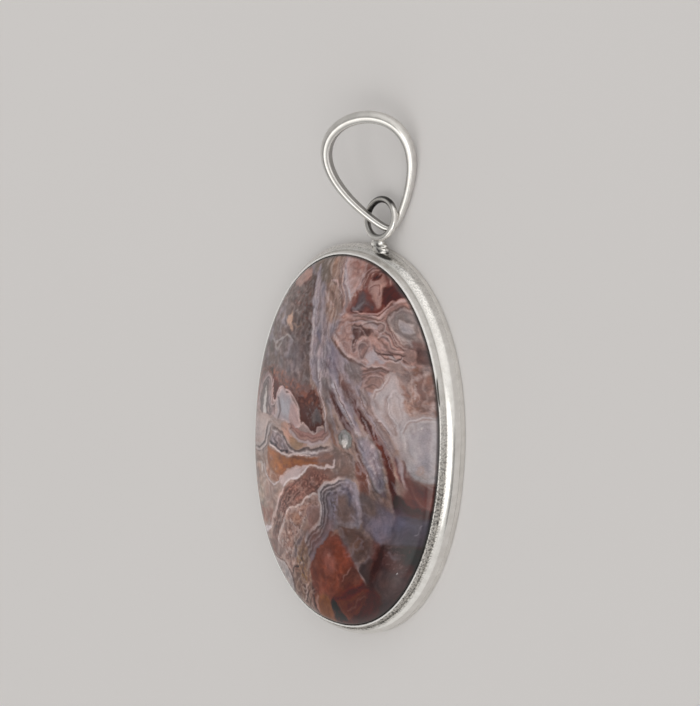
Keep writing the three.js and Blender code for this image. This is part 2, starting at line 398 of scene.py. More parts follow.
def paint(x, y):
    p = Painting(x, y)
    p.light[:] = tone(*beige)

    # the top: olive-grey at the left, tan in the middle, a pink wedge
    p.patch([(-16, 22), (-1, 22), (0.4, 18), (1.5, 15), (1.4, 12.6), (3, 10.4), (7, 9), (8, 6), (4, 4),
        (0, 5), (-3, 8), (-4, 14), (-9, 18)], grey_lilac, soft=1.2)
    p.patch([(-7, 21), (-2.6, 21), (-2.2, 17.4), (-3.4, 17.6), (-4.8, 18.2), (-6, 18.6)], olive, soft=0.8,
        strength=0.9)
    p.patch([(-3, 21), (-1.2, 21), (-1, 19), (-0.4, 17.4), (0.2, 16.2), (0.4, 15), (-0.6, 13.6), (-1.9, 14.2),
        (-2.7, 15.6), (-2.8, 18)], tan, soft=1.1, rough=0.3, strength=0.85)
    p.patch([(-0.5, 22), (16, 22), (16, 6), (9, 9), (6, 9.4), (4, 10.2), (2, 10.6), (0.2, 12.2), (0.6, 14.6),
        (1.4, 16)], pink, soft=0.7)
    p.patch([(-0.9, 22), (2.4, 22), (2.5, 19.6), (2.2, 18), (1.7, 17.2), (1.35, 16.7), (0.9, 17.4),
        (0.2, 18.3), (-0.5, 19.1), (-1, 20)], [(0, lilac), (0.3, pale_pink), (0.9, pink)], soft=0.25)
    p.vein([(0.3, 20.6), (1.4, 20.4), (2.2, 20)], (0.5, 0.8, 0.3), (160, 112, 100), soft=0.5, strength=0.7)
    p.vein([(-0.8, 19.6), (-0.2, 18.6), (0.5, 17.8), (1.1, 17.1), (1.4, 16.7)], (0.15, 0.2, 0.3), white,
        soft=0.15)
    p.lace([(-1.5, 20.8), (-1.3, 19.4), (-0.9, 18.2), (-0.3, 17.3), (0.3, 16.5), (0.55, 15.7), (0.35, 15)],
        [(-0.45, tan), (-0.22, (112, 86, 76)), (0.05, brown), (0.3, pale_pink)], rough=0.12, ends=(0.2, 0.1),
        strength=0.7)
    p.vein([(-2.4, 18), (-1.6, 18.3), (-0.8, 17.5), (0, 17), (0.4, 16.4)], 0.22, pale_pink, soft=0.1,
        strength=0.7)
    p.vein([(-3, 18.8), (-2.2, 18.1), (-1.5, 17.9)], 0.2, dark_brown, strength=0.5)
    p.vein([(-2.6, 17.2), (-1.7, 16.9), (-1, 16.3)], 0.2, brown, strength=0.6)
    p.vein([(-2.8, 16.6), (-1.9, 16), (-1, 15.6)], 0.2, pale_pink, strength=0.5)

    # the mossy field at the left of the top, and its tan inclusion
    p.patch([(-6.2, 18.3), (-5.1, 17.8), (-4.7, 16), (-4.3, 14), (-3.9, 12), (-3.6, 10), (-3.4, 8),
        (-2.9, 6.6), (-3.6, 5.4), (-7, 5.6), (-12, 6), (-16, 5), (-16, 12), (-12, 16.5), (-9, 19)], mossy,
        rough=0.15)
    p.mottle([(-15, 6), (-7, 6), (-6.4, 9), (-8, 12), (-10, 14), (-13, 13)], grey_lilac, 1.2, 21, soft=1.5,
        amount=0.85, low=-0.2)
    p.mottle([(-9, 18), (-4.6, 17), (-3.6, 8), (-7, 6), (-9, 10)], dark_brown, 0.8, 22, soft=1, low=-0.2)
    p.mottle([(-9, 16), (-5, 16), (-4, 11), (-8, 13)], red_brown, 0.6, 24, soft=1, amount=0.5)
    p.mottle([(-9, 17), (-4.6, 17), (-3.4, 8), (-3.4, 6), (-9, 7)], grey, 0.45, 26, soft=1, amount=0.6)
    p.patch([(-10, 17.5), (-8, 18.4), (-6.4, 18.4), (-6.2, 17.4), (-6.9, 16.9), (-7.8, 16.4), (-9, 16.4)],
        (172, 136, 124))
    p.vein([(-6.3, 17.6), (-6.6, 17.1), (-7.2, 16.8), (-7.4, 16.5)], (0.3, 0.5, 0.2), maroon, soft=0.3)
    p.vein([(-9.2, 12.4), (-8.6, 11.6), (-7.7, 11), (-7.1, 11.5), (-7.3, 12.3), (-7.6, 13.2)],
        (0.3, 0.5, 0.5), dark_brown, soft=0.3)
    p.patch([(-8.9, 12.9), (-8.5, 13.1), (-8.25, 13.6), (-8, 13), (-7.7, 12.7), (-7.8, 12), (-7.4, 11.9),
        (-7.3, 11.5), (-7.7, 11.35), (-8.3, 11.8), (-8.8, 12.2)], [(0, (146, 116, 98)),
        (0.12, (176, 144, 124))], soft=0.2, strength=0.9)
    p.vein([(-7.2, 12.2), (-6.6, 12.1), (-6.1, 12.3), (-6.2, 12.8)], 0.22, tan)
    p.vein([(-11.6, 9.6), (-10.5, 9.4), (-9.9, 9.8), (-9.3, 10.3), (-8.3, 10.8), (-6.9, 10.4)],
        (0.15, 0.3, 0.15), (168, 160, 156), strength=0.7)
    p.vein([(-10.8, 9.2), (-10.3, 8.8), (-9.8, 8.9), (-9.4, 9.6)], (0.2, 0.5, 0.2), (172, 164, 160), soft=0.3,
        strength=0.7)
    p.vein([(-12.2, 8.3), (-11, 8.6), (-9.6, 8.1), (-8.6, 8.4)], (0.1, 0.35, 0.1), dark_brown, soft=0.3,
        strength=0.5)
    p.vein([(-11.2, 10.4), (-9.8, 10.6), (-9.5, 11.2)], (0.1, 0.3, 0.1), dark_brown, soft=0.3, strength=0.5)

    # lilac stripes that run down from the top to the middle and on to the lower right
    p.patch([(-5.3, 19.4), (-4.3, 18), (-3.6, 16), (-2.9, 13.5), (-2.2, 11), (-1.6, 9), (-1, 6.8),
        (-1.2, 5.6), (-2.2, 6.6), (-3, 8), (-3.5, 9.8), (-3.8, 12), (-4.3, 14.2), (-4.9, 16.6)], [(0, lilac),
        (0.5, grey_lilac)], soft=0.3)
    for start, end, wide, colour in (
            ([(-4.9, 18.4), (-4.4, 16.2), (-3.9, 13.8), (-3.5, 11.4)], (-3.2, 9.2), 0.3, white),
            ([(-4.3, 17.6), (-3.8, 15.4), (-3.3, 13.2), (-2.9, 11.2)], (-2.7, 9.6), 0.22, lilac),
            ([(-3.9, 17.4), (-3.4, 15.2), (-2.9, 13.2), (-2.5, 11.4)], (-2.2, 9.4), 0.25, grey),
            ([(-3.2, 16.6), (-2.6, 14.4), (-2.1, 12.6), (-1.6, 10.8)], (-1, 8.6), 0.3, lilac),
            ([(-2.5, 15.4), (-1.9, 13.6), (-1.2, 11.8), (-0.6, 10.2)], (-0.1, 8.2), 0.3, grey_lilac),
            ([(-2.3, 16), (-1.7, 14.2), (-1, 12.4), (-0.2, 11)], (0.4, 9.2), 0.16, brown)):
        p.vein(start + [end], (wide * 0.6, wide, wide, wide * 0.5), colour, strength=0.6)
    p.vein([(-2.9, 12.6), (-2.5, 11.8), (-2.1, 11.2)], (0.2, 0.5, 0.2), (120, 114, 132), soft=0.3,
        strength=0.7)
    p.patch([(-0.6, 11.4), (0.4, 11.2), (1.2, 10.4), (1.4, 9), (1, 8), (0.2, 8.2), (-0.6, 9.6)],
        (132, 122, 134), soft=0.8, strength=0.8)
    p.vein([(-3.6, 9.6), (-3.4, 8.9), (-3, 8.2), (-2.9, 7.4)], (0.15, 0.35, 0.1), lilac, soft=0.15,
        strength=1)
    p.vein([(-1.9, 9), (-1.5, 7.6), (-1.3, 6.4), (-1.2, 5.4), (-0.6, 4.6), (-0.1, 3.8), (0.1, 2.8)],
        (0.2, 0.35, 0.3), white, soft=0.15)
    p.patch([(-1, 7.4), (0.2, 7.6), (1, 7.2), (0.6, 5.8), (0.9, 4.6), (1.4, 3.4), (1.9, 2), (1.4, 1),
        (0.5, 2.6), (0.2, 4), (-0.6, 5.2)], grey, soft=0.4, strength=0.8)

    # the top right: a red-brown field round a pink core with dark red eyes
    p.patch([(2, 20.9), (3.2, 20.6), (5.2, 20.2), (7.6, 19.4), (9, 18), (8, 17.4), (7.2, 16.6), (6.6, 15.9),
        (5.2, 15.5), (3.4, 15), (2, 14.9), (1.2, 15.2), (1.3, 16.4), (1.9, 17.4), (2.5, 18.4), (2.5, 19.6)],
        [(0, (158, 122, 112)), (0.35, (142, 98, 89)), (0.8, (132, 84, 76))], soft=0.4, rough=0.15)
    p.patch([(3.3, 19.4), (3.8, 19.9), (4.6, 19.9), (5.6, 19.3), (5.8, 18.4), (5.6, 17.6), (6.1, 17),
        (5.9, 16.5), (5.2, 16.6), (4.6, 17), (4, 17.6), (3.5, 18.3)], [(0, (150, 108, 98)),
        (0.3, (176, 136, 125)), (0.7, (184, 146, 136))], soft=0.25, rough=0.12)
    p.patch([(3.3, 19.6), (3.9, 19.9), (4.5, 19.8), (4.4, 19.3), (3.8, 19.2)], [(0, (130, 80, 70)),
        (0.25, (86, 40, 36))], soft=0.15)
    p.vein([(2.9, 19.7), (2.8, 19), (2.9, 18.3)], 0.4, (112, 80, 74), soft=0.3, strength=0.7)
    p.patch([(5.7, 18.7), (6.4, 19.2), (7.6, 19.4), (8.9, 18.4), (8.3, 17.6), (7.4, 17.2), (6.8, 16.8),
        (6.2, 16.5), (5.8, 17.2), (5.5, 18)], [(0, (106, 64, 58)), (0.3, (92, 52, 46)), (0.8, (86, 48, 42))],
        soft=0.3, rough=0.15)
    p.patch([(2.2, 17.5), (2.9, 18.1), (3.6, 17.8), (4.4, 17), (5.1, 16.5), (4.8, 15.9), (4, 16.1),
        (3.4, 15.6), (2.6, 15.3), (1.8, 15.6), (2.2, 16.3), (2, 16.9)], [(0, (128, 74, 66)),
        (0.3, (104, 74, 72)), (0.7, (98, 84, 86))], soft=0.3, rough=0.2)
    p.vein([(2.1, 15.9), (2.7, 15.9), (3.1, 16.3), (3.4, 16.7)], (0.25, 0.3, 0.1), (130, 124, 124), soft=0.25,
        strength=0.7)
    p.vein([(2, 15.6), (2.7, 15.4), (3.3, 15.7)], 0.2, dark_maroon, soft=0.15, strength=0.7)
    p.vein([(4.1, 15.9), (5, 16), (5.8, 16.2), (6.3, 16.7)], (0.25, 0.4, 0.3), (120, 66, 58), strength=1)
    p.lace([(1.2, 15), (2.2, 15), (3.4, 15.3), (4.6, 15.6), (5.8, 15.7), (6.6, 16.2), (7.1, 17), (7.8, 17.6),
        (8.8, 17.9)], [(-0.7, pink), (-0.45, (140, 104, 96)), (-0.25, pale_pink), (-0.1, (190, 158, 150)),
        (0.05, (150, 100, 90))], ends=(0.1, 0.05))

    # bands of pink and brown that cross below it
    p.lace([(1.2, 14.4), (2.4, 14.5), (3.8, 14.9), (5.4, 14.8), (6.6, 15), (7.2, 15.8), (7.8, 16.7),
        (9.2, 17.2)], [(-0.3, lilac), (-0.1, brown), (0.15, pink), (0.4, (150, 116, 106)), (0.6, pale_pink)],
        strength=0.85)
    p.patch([(2.4, 14), (3.3, 14.05), (4.4, 14), (5.6, 13.8), (5.5, 13.3), (4.5, 13.1), (3.9, 12.8),
        (3.6, 12), (3.3, 11.3), (3, 11.6), (3, 12.6), (2.7, 13.3)], [(0, brown), (0.25, (96, 64, 58))],
        soft=0.2)
    p.patch([(3.7, 14.5), (4.8, 14.9), (6, 14.6), (6.2, 14), (5, 14), (4, 14.1)], (176, 156, 152), soft=0.3,
        strength=0.9)
    p.patch([(6.4, 14.6), (7, 15.2), (7, 14.2), (6.6, 13.7)], (170, 142, 134), soft=0.2)
    p.lace([(5.2, 13.4), (6.3, 13.6), (7.2, 13.1), (8, 12.4), (9, 12), (10.2, 12.2), (11.2, 12.6),
        (12, 12.4)], [(-0.55, pale_pink), (-0.35, pink), (-0.15, brown), (0.1, pink), (0.3, pale_pink),
        (0.45, brown)], strength=0.9)
    p.patch([(4.3, 12.8), (5.2, 13), (5.6, 12.2), (5.4, 11.2), (4.7, 10.6), (4.1, 11.2), (4, 12)],
        [(0, pale_pink), (0.3, (144, 112, 104))], soft=0.25)
    p.patch([(4.9, 10.2), (5.3, 11.2), (6, 11.8), (6.6, 11.5), (7.4, 11.1), (8.2, 11.1), (7.6, 10.7),
        (6.6, 10.8), (6.4, 10.2), (5.6, 9.9)], (176, 163, 164), soft=0.4)
    p.vein([(6, 12.1), (6.3, 11.7), (6.9, 11.6), (7.7, 11.75), (8.5, 11.8), (9.3, 11.2), (10, 11.4),
        (10.9, 11.1)], (0.1, 0.2, 0.12), (84, 60, 56), soft=0.12, strength=1)
    p.vein([(6, 12.4), (6.8, 12), (7.7, 12.1), (8.5, 12.1)], 0.3, (140, 112, 106), strength=1)
    p.vein([(8.6, 11.5), (9.6, 11), (10.8, 10.8), (11.6, 11)], 0.3, (178, 166, 164))
    # the grey fortification at the right: layers round a pale core
    p.patch([(6.9, 15.4), (7.3, 16.3), (7.9, 16.9), (8.8, 17.2), (10.2, 16.6), (11.4, 15), (12.4, 13.2),
        (11.4, 12.7), (10.4, 12.8), (9.4, 12.9), (8.8, 13.4), (8.3, 13.8), (7.7, 14.1), (7.2, 14.8)],
        [(0, (146, 116, 108)), (0.18, (120, 96, 90)), (0.36, (168, 150, 144)), (0.6, (140, 122, 117)),
        (0.85, (152, 138, 133)), (1.2, (142, 128, 122)), (1.6, (158, 146, 142))], soft=0.2)
    p.vein([(7.3, 15.7), (7.75, 15.1), (8.1, 14.5), (8.8, 14), (9.8, 13.6), (10.9, 13.4)], (0.1, 0.22, 0.15),
        (172, 158, 153))
    p.vein([(7.9, 16.2), (8, 15.4), (8.4, 14.8), (9.1, 14.3), (10, 13.9), (11, 13.9)], (0.1, 0.14, 0.1),
        (122, 104, 98), soft=0.18, strength=0.7)
    p.patch([(8.4, 15.9), (9.3, 15.8), (10.4, 15.3), (11, 14.6), (10.6, 14.1), (9.7, 13.9), (9, 14.3),
        (8.5, 15)], [(0, (130, 116, 111)), (0.16, (136, 122, 117)), (0.34, (170, 158, 154)),
        (0.5, (163, 153, 152)), (0.9, (174, 164, 162))], soft=0.2, rough=0.06)
    p.patch([(10.7, 13.5), (11.4, 13.7), (12.2, 13.3), (12, 12.7), (11.2, 12.7)], (128, 94, 86), strength=0.8)
    p.lace([(7.9, 14.3), (8.5, 13.7), (9.1, 13.2), (9.8, 12.8), (10.8, 12.75)], [(-0.3, (126, 98, 91)),
        (-0.16, (104, 80, 75)), (-0.02, (168, 146, 140)), (0.12, (134, 108, 101)), (0.26, (150, 128, 121))],
        rough=0.06, ends=(0.1, 0.15), strength=0.85)
    p.patch([(11.4, 12.9), (12.3, 13.1), (13.2, 12), (13, 11), (12.2, 11.2), (11.6, 11.8)],
        [(0, (112, 88, 83)), (0.4, (92, 70, 67))])
    p.patch([(10, 12.6), (11.2, 12.7), (11.5, 12), (11.1, 11.4), (10.2, 11.5)], (150, 124, 117), soft=0.3)
    p.vein([(10, 12.2), (9.95, 11.6), (10.3, 11.2), (11.2, 11.1)], (0.1, 0.25, 0.1), (98, 74, 70))
    # the pale line under this field and the brown line beneath it
    p.lace([(-0.4, 12.6), (0.2, 12), (1, 11.4), (1.8, 10.8), (2.9, 10.4), (4.2, 10.15), (5, 10.4), (5.6, 10)],
        [(-0.45, (120, 96, 88)), (-0.2, (100, 74, 68)), (0, pink), (0.18, (192, 166, 160)), (0.5, pink)],
        ends=(0.1, 0.05))
    p.lace([(4.6, 9.4), (5.6, 9.7), (6.5, 10.1), (7.6, 10.3), (8.5, 10), (9.4, 10.4), (10.4, 10.2)],
        [(-0.5, pink), (-0.3, brown), (-0.12, (104, 78, 72)), (0.08, pink), (0.3, (176, 150, 144))],
        ends=(0.1, 0.1))
    p.lace([(4.4, 8.5), (5.4, 8.7), (6.2, 9.2), (7.2, 9.6), (8.2, 9.4), (8.8, 8.8)], [(-0.4, (158, 128, 118)),
        (-0.15, (126, 96, 88)), (0.1, pink), (0.3, (120, 92, 84))])
    p.patch([(5.2, 8.2), (6, 8.7), (7.2, 9.1), (8, 8.6), (7.8, 7.8), (7, 7.2), (6, 7.2), (5.3, 7.6)],
        (154, 122, 112), soft=0.35)
    p.vein([(5.8, 8.2), (6.4, 7.8), (7, 7.6)], 0.15, brown, soft=0.15, strength=0.6)
    p.patch([(3, 9.9), (4.8, 9.8), (5, 8.6), (4.4, 7.8), (3.2, 8.4), (2.4, 9.2)], (128, 114, 110), soft=0.6)

    # the large pale field at the right, in lobes
    p.patch([(8.6, 9.8), (9.9, 9.7), (10.4, 8.8), (11, 7.6), (11.4, 6.4), (12.2, 5.6), (12.8, 5.8), (13.6, 6),
        (15.2, 6.2), (15.6, 2), (15.4, -1), (14.1, -1.6), (12.9, -1.3), (12, -0.6), (11.3, 0.4), (10.8, 1.5),
        (10.2, 2.4), (9.4, 3.1), (8.4, 3.9), (7.5, 4.8), (6.8, 5.8), (6.6, 6.8), (7.3, 7.6), (8, 8.6)],
        [(0, (164, 146, 140)), (0.4, (172, 158, 155)), (1.2, (176, 165, 163))], soft=0.3)
    p.patch([(9.1, 7.4), (9.7, 8.1), (10.5, 7.8), (11.1, 6.6), (11.6, 5.4), (11.3, 4.2), (10.7, 3.2),
        (10, 4.4), (9.2, 5.2), (8.95, 6.2)], [(-0.2, (150, 132, 126)), (0, (182, 168, 165)),
        (0.25, (188, 178, 176)), (0.45, (172, 158, 154)), (0.65, (186, 174, 171)), (0.9, (178, 163, 158)),
        (1.2, (172, 156, 150))], soft=0.3, rough=0.06)
    p.vein([(8.9, 7.2), (8.72, 6.3), (8.95, 5.4), (9.6, 4.7), (10.15, 4), (10.5, 3.2)], (0.2, 0.3, 0.3),
        (142, 120, 113), soft=0.3)
    p.vein([(7.2, 6.4), (7.9, 6), (8.6, 5.5), (9, 4.8), (9.6, 4.2), (10, 3.4)], (0.3, 0.5, 0.3),
        (146, 124, 117), soft=0.5, strength=0.6)
    p.vein([(7.6, 4.8), (8.4, 4.5), (9.1, 3.9), (9.7, 3.1)], (0.2, 0.45, 0.1), (176, 165, 164), soft=0.35,
        strength=1)
    p.vein([(7.4, 7.5), (7.1, 6.8), (7, 6.1)], (0.1, 0.2, 0.1), (150, 130, 122), soft=0.25, strength=0.6)
    p.patch([(11.1, 3.2), (11.3, 3.9), (11.8, 4.6), (12.6, 5.2), (13.5, 5.5), (15.2, 5.4), (15.5, 2),
        (15.4, -1), (14.2, -1.5), (13, -1.2), (12.2, -0.6), (11.9, 1.4)], [(0, (186, 176, 173)),
        (0.25, (192, 184, 182)), (0.5, (176, 167, 166)), (0.8, (182, 174, 174)), (1.2, (176, 167, 169))],
        soft=0.35, rough=0.05)
    p.vein([(12, 2.9), (12.15, 2), (12.2, 1), (12.2, -0.2)], (0.3, 0.5, 0.2), (158, 145, 143), soft=0.5,
        strength=0.6)
    p.vein([(13, 3.6), (13, 2.2), (12.9, 0.8)], (0.2, 0.5, 0.2), (190, 182, 180), soft=0.5, strength=0.6)
    p.patch([(13.2, -0.3), (13.5, 0.2), (14, 0.1), (14.1, -0.5), (13.7, -0.9), (13.3, -0.8)],
        [(0, (176, 162, 160)), (0.2, (182, 160, 152)), (0.4, (176, 166, 166))], soft=0.25, strength=0.8)
    p.patch([(10.9, 9.9), (11.8, 10.8), (13.2, 10.8), (14.2, 9.2), (14.9, 7.2), (15, 5.9), (13.8, 5.9),
        (12.9, 6.3), (12.2, 7), (11.5, 7.6), (11, 8.6)], [(0, (148, 116, 102)), (0.5, (130, 96, 85))],
        soft=0.4)
    p.patch([(11, 7.2), (12, 7.5), (12.8, 6.6), (12.4, 5.6), (11.6, 5.6), (11.1, 6.2)], (168, 134, 118),
        strength=0.8)
    p.patch([(10.1, 9.9), (11, 9.9), (11.7, 9.3), (11.5, 8.5), (10.6, 8.3), (10.1, 8.9)], (158, 138, 130),
        strength=0.8)
    p.vein([(12.3, 7), (12.9, 6.5), (13.4, 6.2)], (0.2, 0.4, 0.2), (100, 76, 67), soft=0.3)
    p.vein([(11.9, 9.2), (12, 8.6), (12.1, 7.9), (12.3, 7.3)], (0.08, 0.16, 0.08), (196, 180, 172), soft=0.15,
        strength=0.75)
    p.mottle([(10.6, 11.4), (13.4, 11.6), (14.8, 7), (14.9, 5.6), (13, 5.8), (11.4, 6.6)], (108, 80, 72), 0.7,
        31, amount=0.5)
    p.patch([(8.2, 10.8), (9.4, 11), (10.6, 10.6), (11.2, 9.6), (10.2, 9.2), (9.6, 9.9), (8.6, 10.1)],
        (146, 124, 116), soft=0.4)

    # the middle: the brown diagonal and the stripes beside it
    p.patch([(5.2, 7.6), (6.4, 7), (6.9, 5.6), (7.8, 4.6), (8.8, 3.6), (9.8, 2.6), (10.6, 1.2), (9.6, 0.6),
        (8.2, 2), (6.8, 3.4), (5.6, 4.8), (5, 6.2)], [(0, (138, 116, 110)), (0.5, (152, 132, 126))], soft=0.4)
    p.lace([(5, 6.8), (5.8, 5.6), (6.8, 4.6), (7.8, 3.7), (8.8, 2.6), (9.8, 1.4)], [(-0.3, (120, 96, 90)),
        (-0.1, lilac), (0.1, (130, 106, 98)), (0.3, (172, 154, 150))], ends=(0.15, 0.15), strength=0.8)
    p.patch([(1.6, 8.2), (2.6, 8.2), (3.8, 7.4), (4.8, 6.4), (5, 5.4), (4.4, 5), (3.6, 5.6), (2.6, 6.4),
        (1.8, 7.2)], [(0, (130, 104, 96)), (0.5, (114, 80, 72))], soft=0.8, rough=0.25, strength=0.85)
    p.vein([(1.2, 8.8), (2, 8.2), (2.8, 7.3), (3.4, 6.4), (3.8, 5.8)], (0.3, 0.5, 0.2), (96, 72, 70),
        soft=0.4, strength=0.6)
    p.vein([(4.4, 5.6), (5, 4.9), (5.7, 4.1), (6.6, 3.4), (7.5, 2.6), (8.4, 1.8), (9.2, 0.8), (9.8, -0.4),
        (10.3, -1.9), (10.7, -3.4), (11.2, -5), (11.5, -6)], (0.5, 1.1, 1, 1, 1.1, 1, 0.8),
        [(0, (96, 56, 50)), (0.35, (104, 62, 56)), (0.6, (128, 90, 82))], soft=0.25, rough=0.1, strength=1)
    p.vein([(5.2, 4.8), (6, 3.9), (6.9, 3.3), (7.5, 2.8)], (0.2, 0.7, 0.1), (70, 50, 48), soft=0.35)
    p.vein([(7.2, 2.6), (8.2, 1.9), (9, 0.9), (9.5, -0.2)], (0.1, 0.5, 0.2), (122, 66, 54), soft=0.3)
    p.lace([(0.9, 7.8), (1.5, 6.7), (2.3, 5.7), (3.1, 4.8), (4, 3.9), (4.8, 3), (5.6, 2.3), (6.4, 2)],
        [(-0.45, grey_lilac), (-0.2, white), (0, lilac), (0.3, (150, 138, 146)), (0.5, grey_lilac)],
        rough=0.1, ends=(0.05, 0.15))
    p.lace([(0.2, 6.6), (1, 5.6), (1.8, 4.6), (2.6, 3.8), (3.4, 3), (4.2, 2.6), (5, 2.2)],
        [(-0.35, (120, 88, 82)), (-0.1, (92, 58, 54)), (0.2, (86, 54, 52)), (0.4, (120, 96, 96))], rough=0.08)
    p.vein([(0.3, 5.2), (0.8, 4.4), (1.2, 3.4), (1.6, 2.6), (2.2, 1.8)], (0.15, 0.3, 0.3), (160, 146, 148))
    p.lace([(0.5, 3.2), (0.9, 2.4), (1.5, 1.5), (2, 0.6), (2.6, -0.2), (3.2, -1)], [(-0.45, grey_lilac),
        (-0.2, (144, 110, 96)), (0.15, (136, 100, 86)), (0.4, (160, 144, 142))], rough=0.1, ends=(0.2, 0.1))
    p.patch([(4.6, 2.6), (5.4, 1.8), (6.4, 2.2), (7.6, 1.8), (8.6, 0.8), (9.2, -0.8), (9.6, -2.6),
        (9.8, -4.4), (8.6, -3.8), (7.6, -2.6), (6.6, -1.2), (5.6, 0.4)], [(0, grey), (0.5, (150, 138, 144))])
    p.mottle([(5.2, 2), (8, 2), (9.4, -1), (9.6, -4), (7.6, -2.6), (6, 0)], white, 0.7, 33, amount=0.5)
    p.patch([(2.4, 1.4), (2.8, 2.2), (3.6, 2.5), (4.4, 2.1), (4.7, 1.2), (4.3, 0.4), (3.5, 0.2), (2.8, 0.6)],
        [(0, (110, 98, 92)), (0.2, (150, 148, 142)), (0.5, (132, 130, 124)), (0.8, (170, 168, 162))],
        soft=0.2)
    p.patch([(3, 0.9), (3.5, 1.3), (4, 1.1), (4, 0.6), (3.4, 0.4)], (206, 204, 198), soft=0.2)
    p.vein([(4.6, 2.5), (5, 1.6), (5.3, 0.7), (5.8, -0.2), (6.5, -1), (7.1, -1.9)], (0.2, 0.4, 0.3),
        (104, 76, 70), soft=0.25, strength=0.9)
    p.patch([(1.2, 0.2), (2.6, 0.2), (3.8, 0), (5, -0.4), (5.8, -1.4), (5.6, -2.8), (4.2, -3), (2.6, -3.3),
        (1.8, -2.4), (2.4, -1.4), (1.6, -0.6)], (126, 106, 98))
    p.mottle([(1.2, 0.2), (3.8, 0.4), (5.8, -1), (5.6, -3), (2.4, -3.6)], (156, 136, 128), 0.45, 35, soft=0.6,
        amount=0.6, low=0)
    p.patch([(5.4, -0.8), (6.4, -1), (7.1, -2), (7.4, -3.4), (7.4, -4.6), (6.4, -4.8), (6, -3.6),
        (5.5, -2.4)], [(0, (132, 96, 86)), (0.4, (124, 80, 68))], soft=0.35)
    p.mottle([(5.4, -0.8), (7.1, -2), (7.6, -4.6), (6.2, -5.2)], (150, 110, 98), 0.4, 37, soft=0.6,
        amount=0.6)
    p.vein([(6.9, -1.9), (7.2, -2.6), (7.8, -3.2), (8.2, -3.6)], (0.1, 0.25, 0.1), (196, 176, 174), soft=0.12,
        strength=0.9)
    p.vein([(7.3, -2.4), (7.4, -3.2), (7.6, -4)], (0.1, 0.2, 0.05), (176, 160, 162), soft=0.15)

    # the right edge below the pale field: dark red stripes and a red field
    p.patch([(12.2, -0.6), (13.2, -1.3), (14.6, -1.7), (15.4, -1.4), (15.2, -4.6), (14.4, -6), (12.4, -5.8),
        (11.6, -4.4), (11.9, -2.6)], [(-0.3, (168, 146, 143)), (0, (150, 112, 106)), (0.5, (128, 78, 70)),
        (1.2, (122, 68, 60))], soft=0.9)
    p.vein([(13.6, -2.4), (14.1, -3), (14.6, -4)], (0.2, 0.5, 0.2), (110, 56, 50), soft=0.4, strength=0.7)
    p.lace([(10.8, 1), (11.2, 0), (11.6, -1), (12, -2), (12.4, -2.8)], [(-0.6, (140, 96, 92)),
        (-0.35, (110, 76, 74)), (-0.12, (168, 150, 150)), (0.2, (170, 152, 153))], soft=0.3, ends=(0.15, 0.3))
    p.vein([(11.6, 0.2), (12, -1.2), (12.6, -2.6), (13.2, -4), (13.4, -5)], (0.2, 0.4, 0.3, 0.4),
        (110, 52, 48), soft=0.3)
    p.vein([(12.6, -2.2), (13.2, -3.4), (14, -4.4), (14.6, -4.8)], (0.1, 0.25, 0.1), (150, 104, 96), soft=0.3,
        strength=0.5)
    p.patch([(10.8, -3.8), (11.8, -3.4), (12.6, -4.6), (14.6, -4.8), (14.8, -6), (12.8, -6.1), (11.2, -6.1),
        (10.8, -5)], (70, 44, 42), strength=0.85)

    # purple-grey, clear stone at the lower right
    p.patch([(6.2, -4.6), (7.6, -4.4), (9.2, -4.6), (10.8, -5.6), (12.4, -6), (15, -6), (14, -9), (13.4, -11),
        (10.4, -10), (9, -10.6), (7.8, -9.6), (6.6, -8.2), (5.8, -6.4)], [(0, (106, 92, 91)),
        (0.8, (114, 104, 111))], soft=1.1, rough=0.2)
    p.patch([(6.2, -4.4), (7.8, -4.2), (8.8, -5.4), (8.6, -6.8), (7.4, -7), (6.4, -6.2)], (107, 92, 88),
        soft=1.6, rough=0.2)
    p.patch([(11.2, -6), (13.2, -5.9), (15.2, -6), (14.6, -9.6), (12.4, -9.6), (10.4, -9.8), (10.6, -8)],
        [(0, (76, 66, 72)), (0.7, (88, 82, 92)), (1.6, (80, 72, 82))], rough=0.15, strength=0.9)
    p.vein([(13.9, -6.6), (13.6, -7.2), (13.2, -7.8)], 0.1, (140, 132, 140), soft=0.12, strength=0.7)
    p.vein([(11.3, -5.9), (11, -6.8), (10.6, -7.8), (10.2, -9)], (0.2, 0.5, 0.2), (84, 74, 84), soft=0.4,
        strength=0.6)
    p.patch([(8, -7), (9.6, -6.6), (10.2, -8.2), (9.2, -9.4), (8, -8.8)], (124, 114, 126), soft=1,
        strength=0.7)
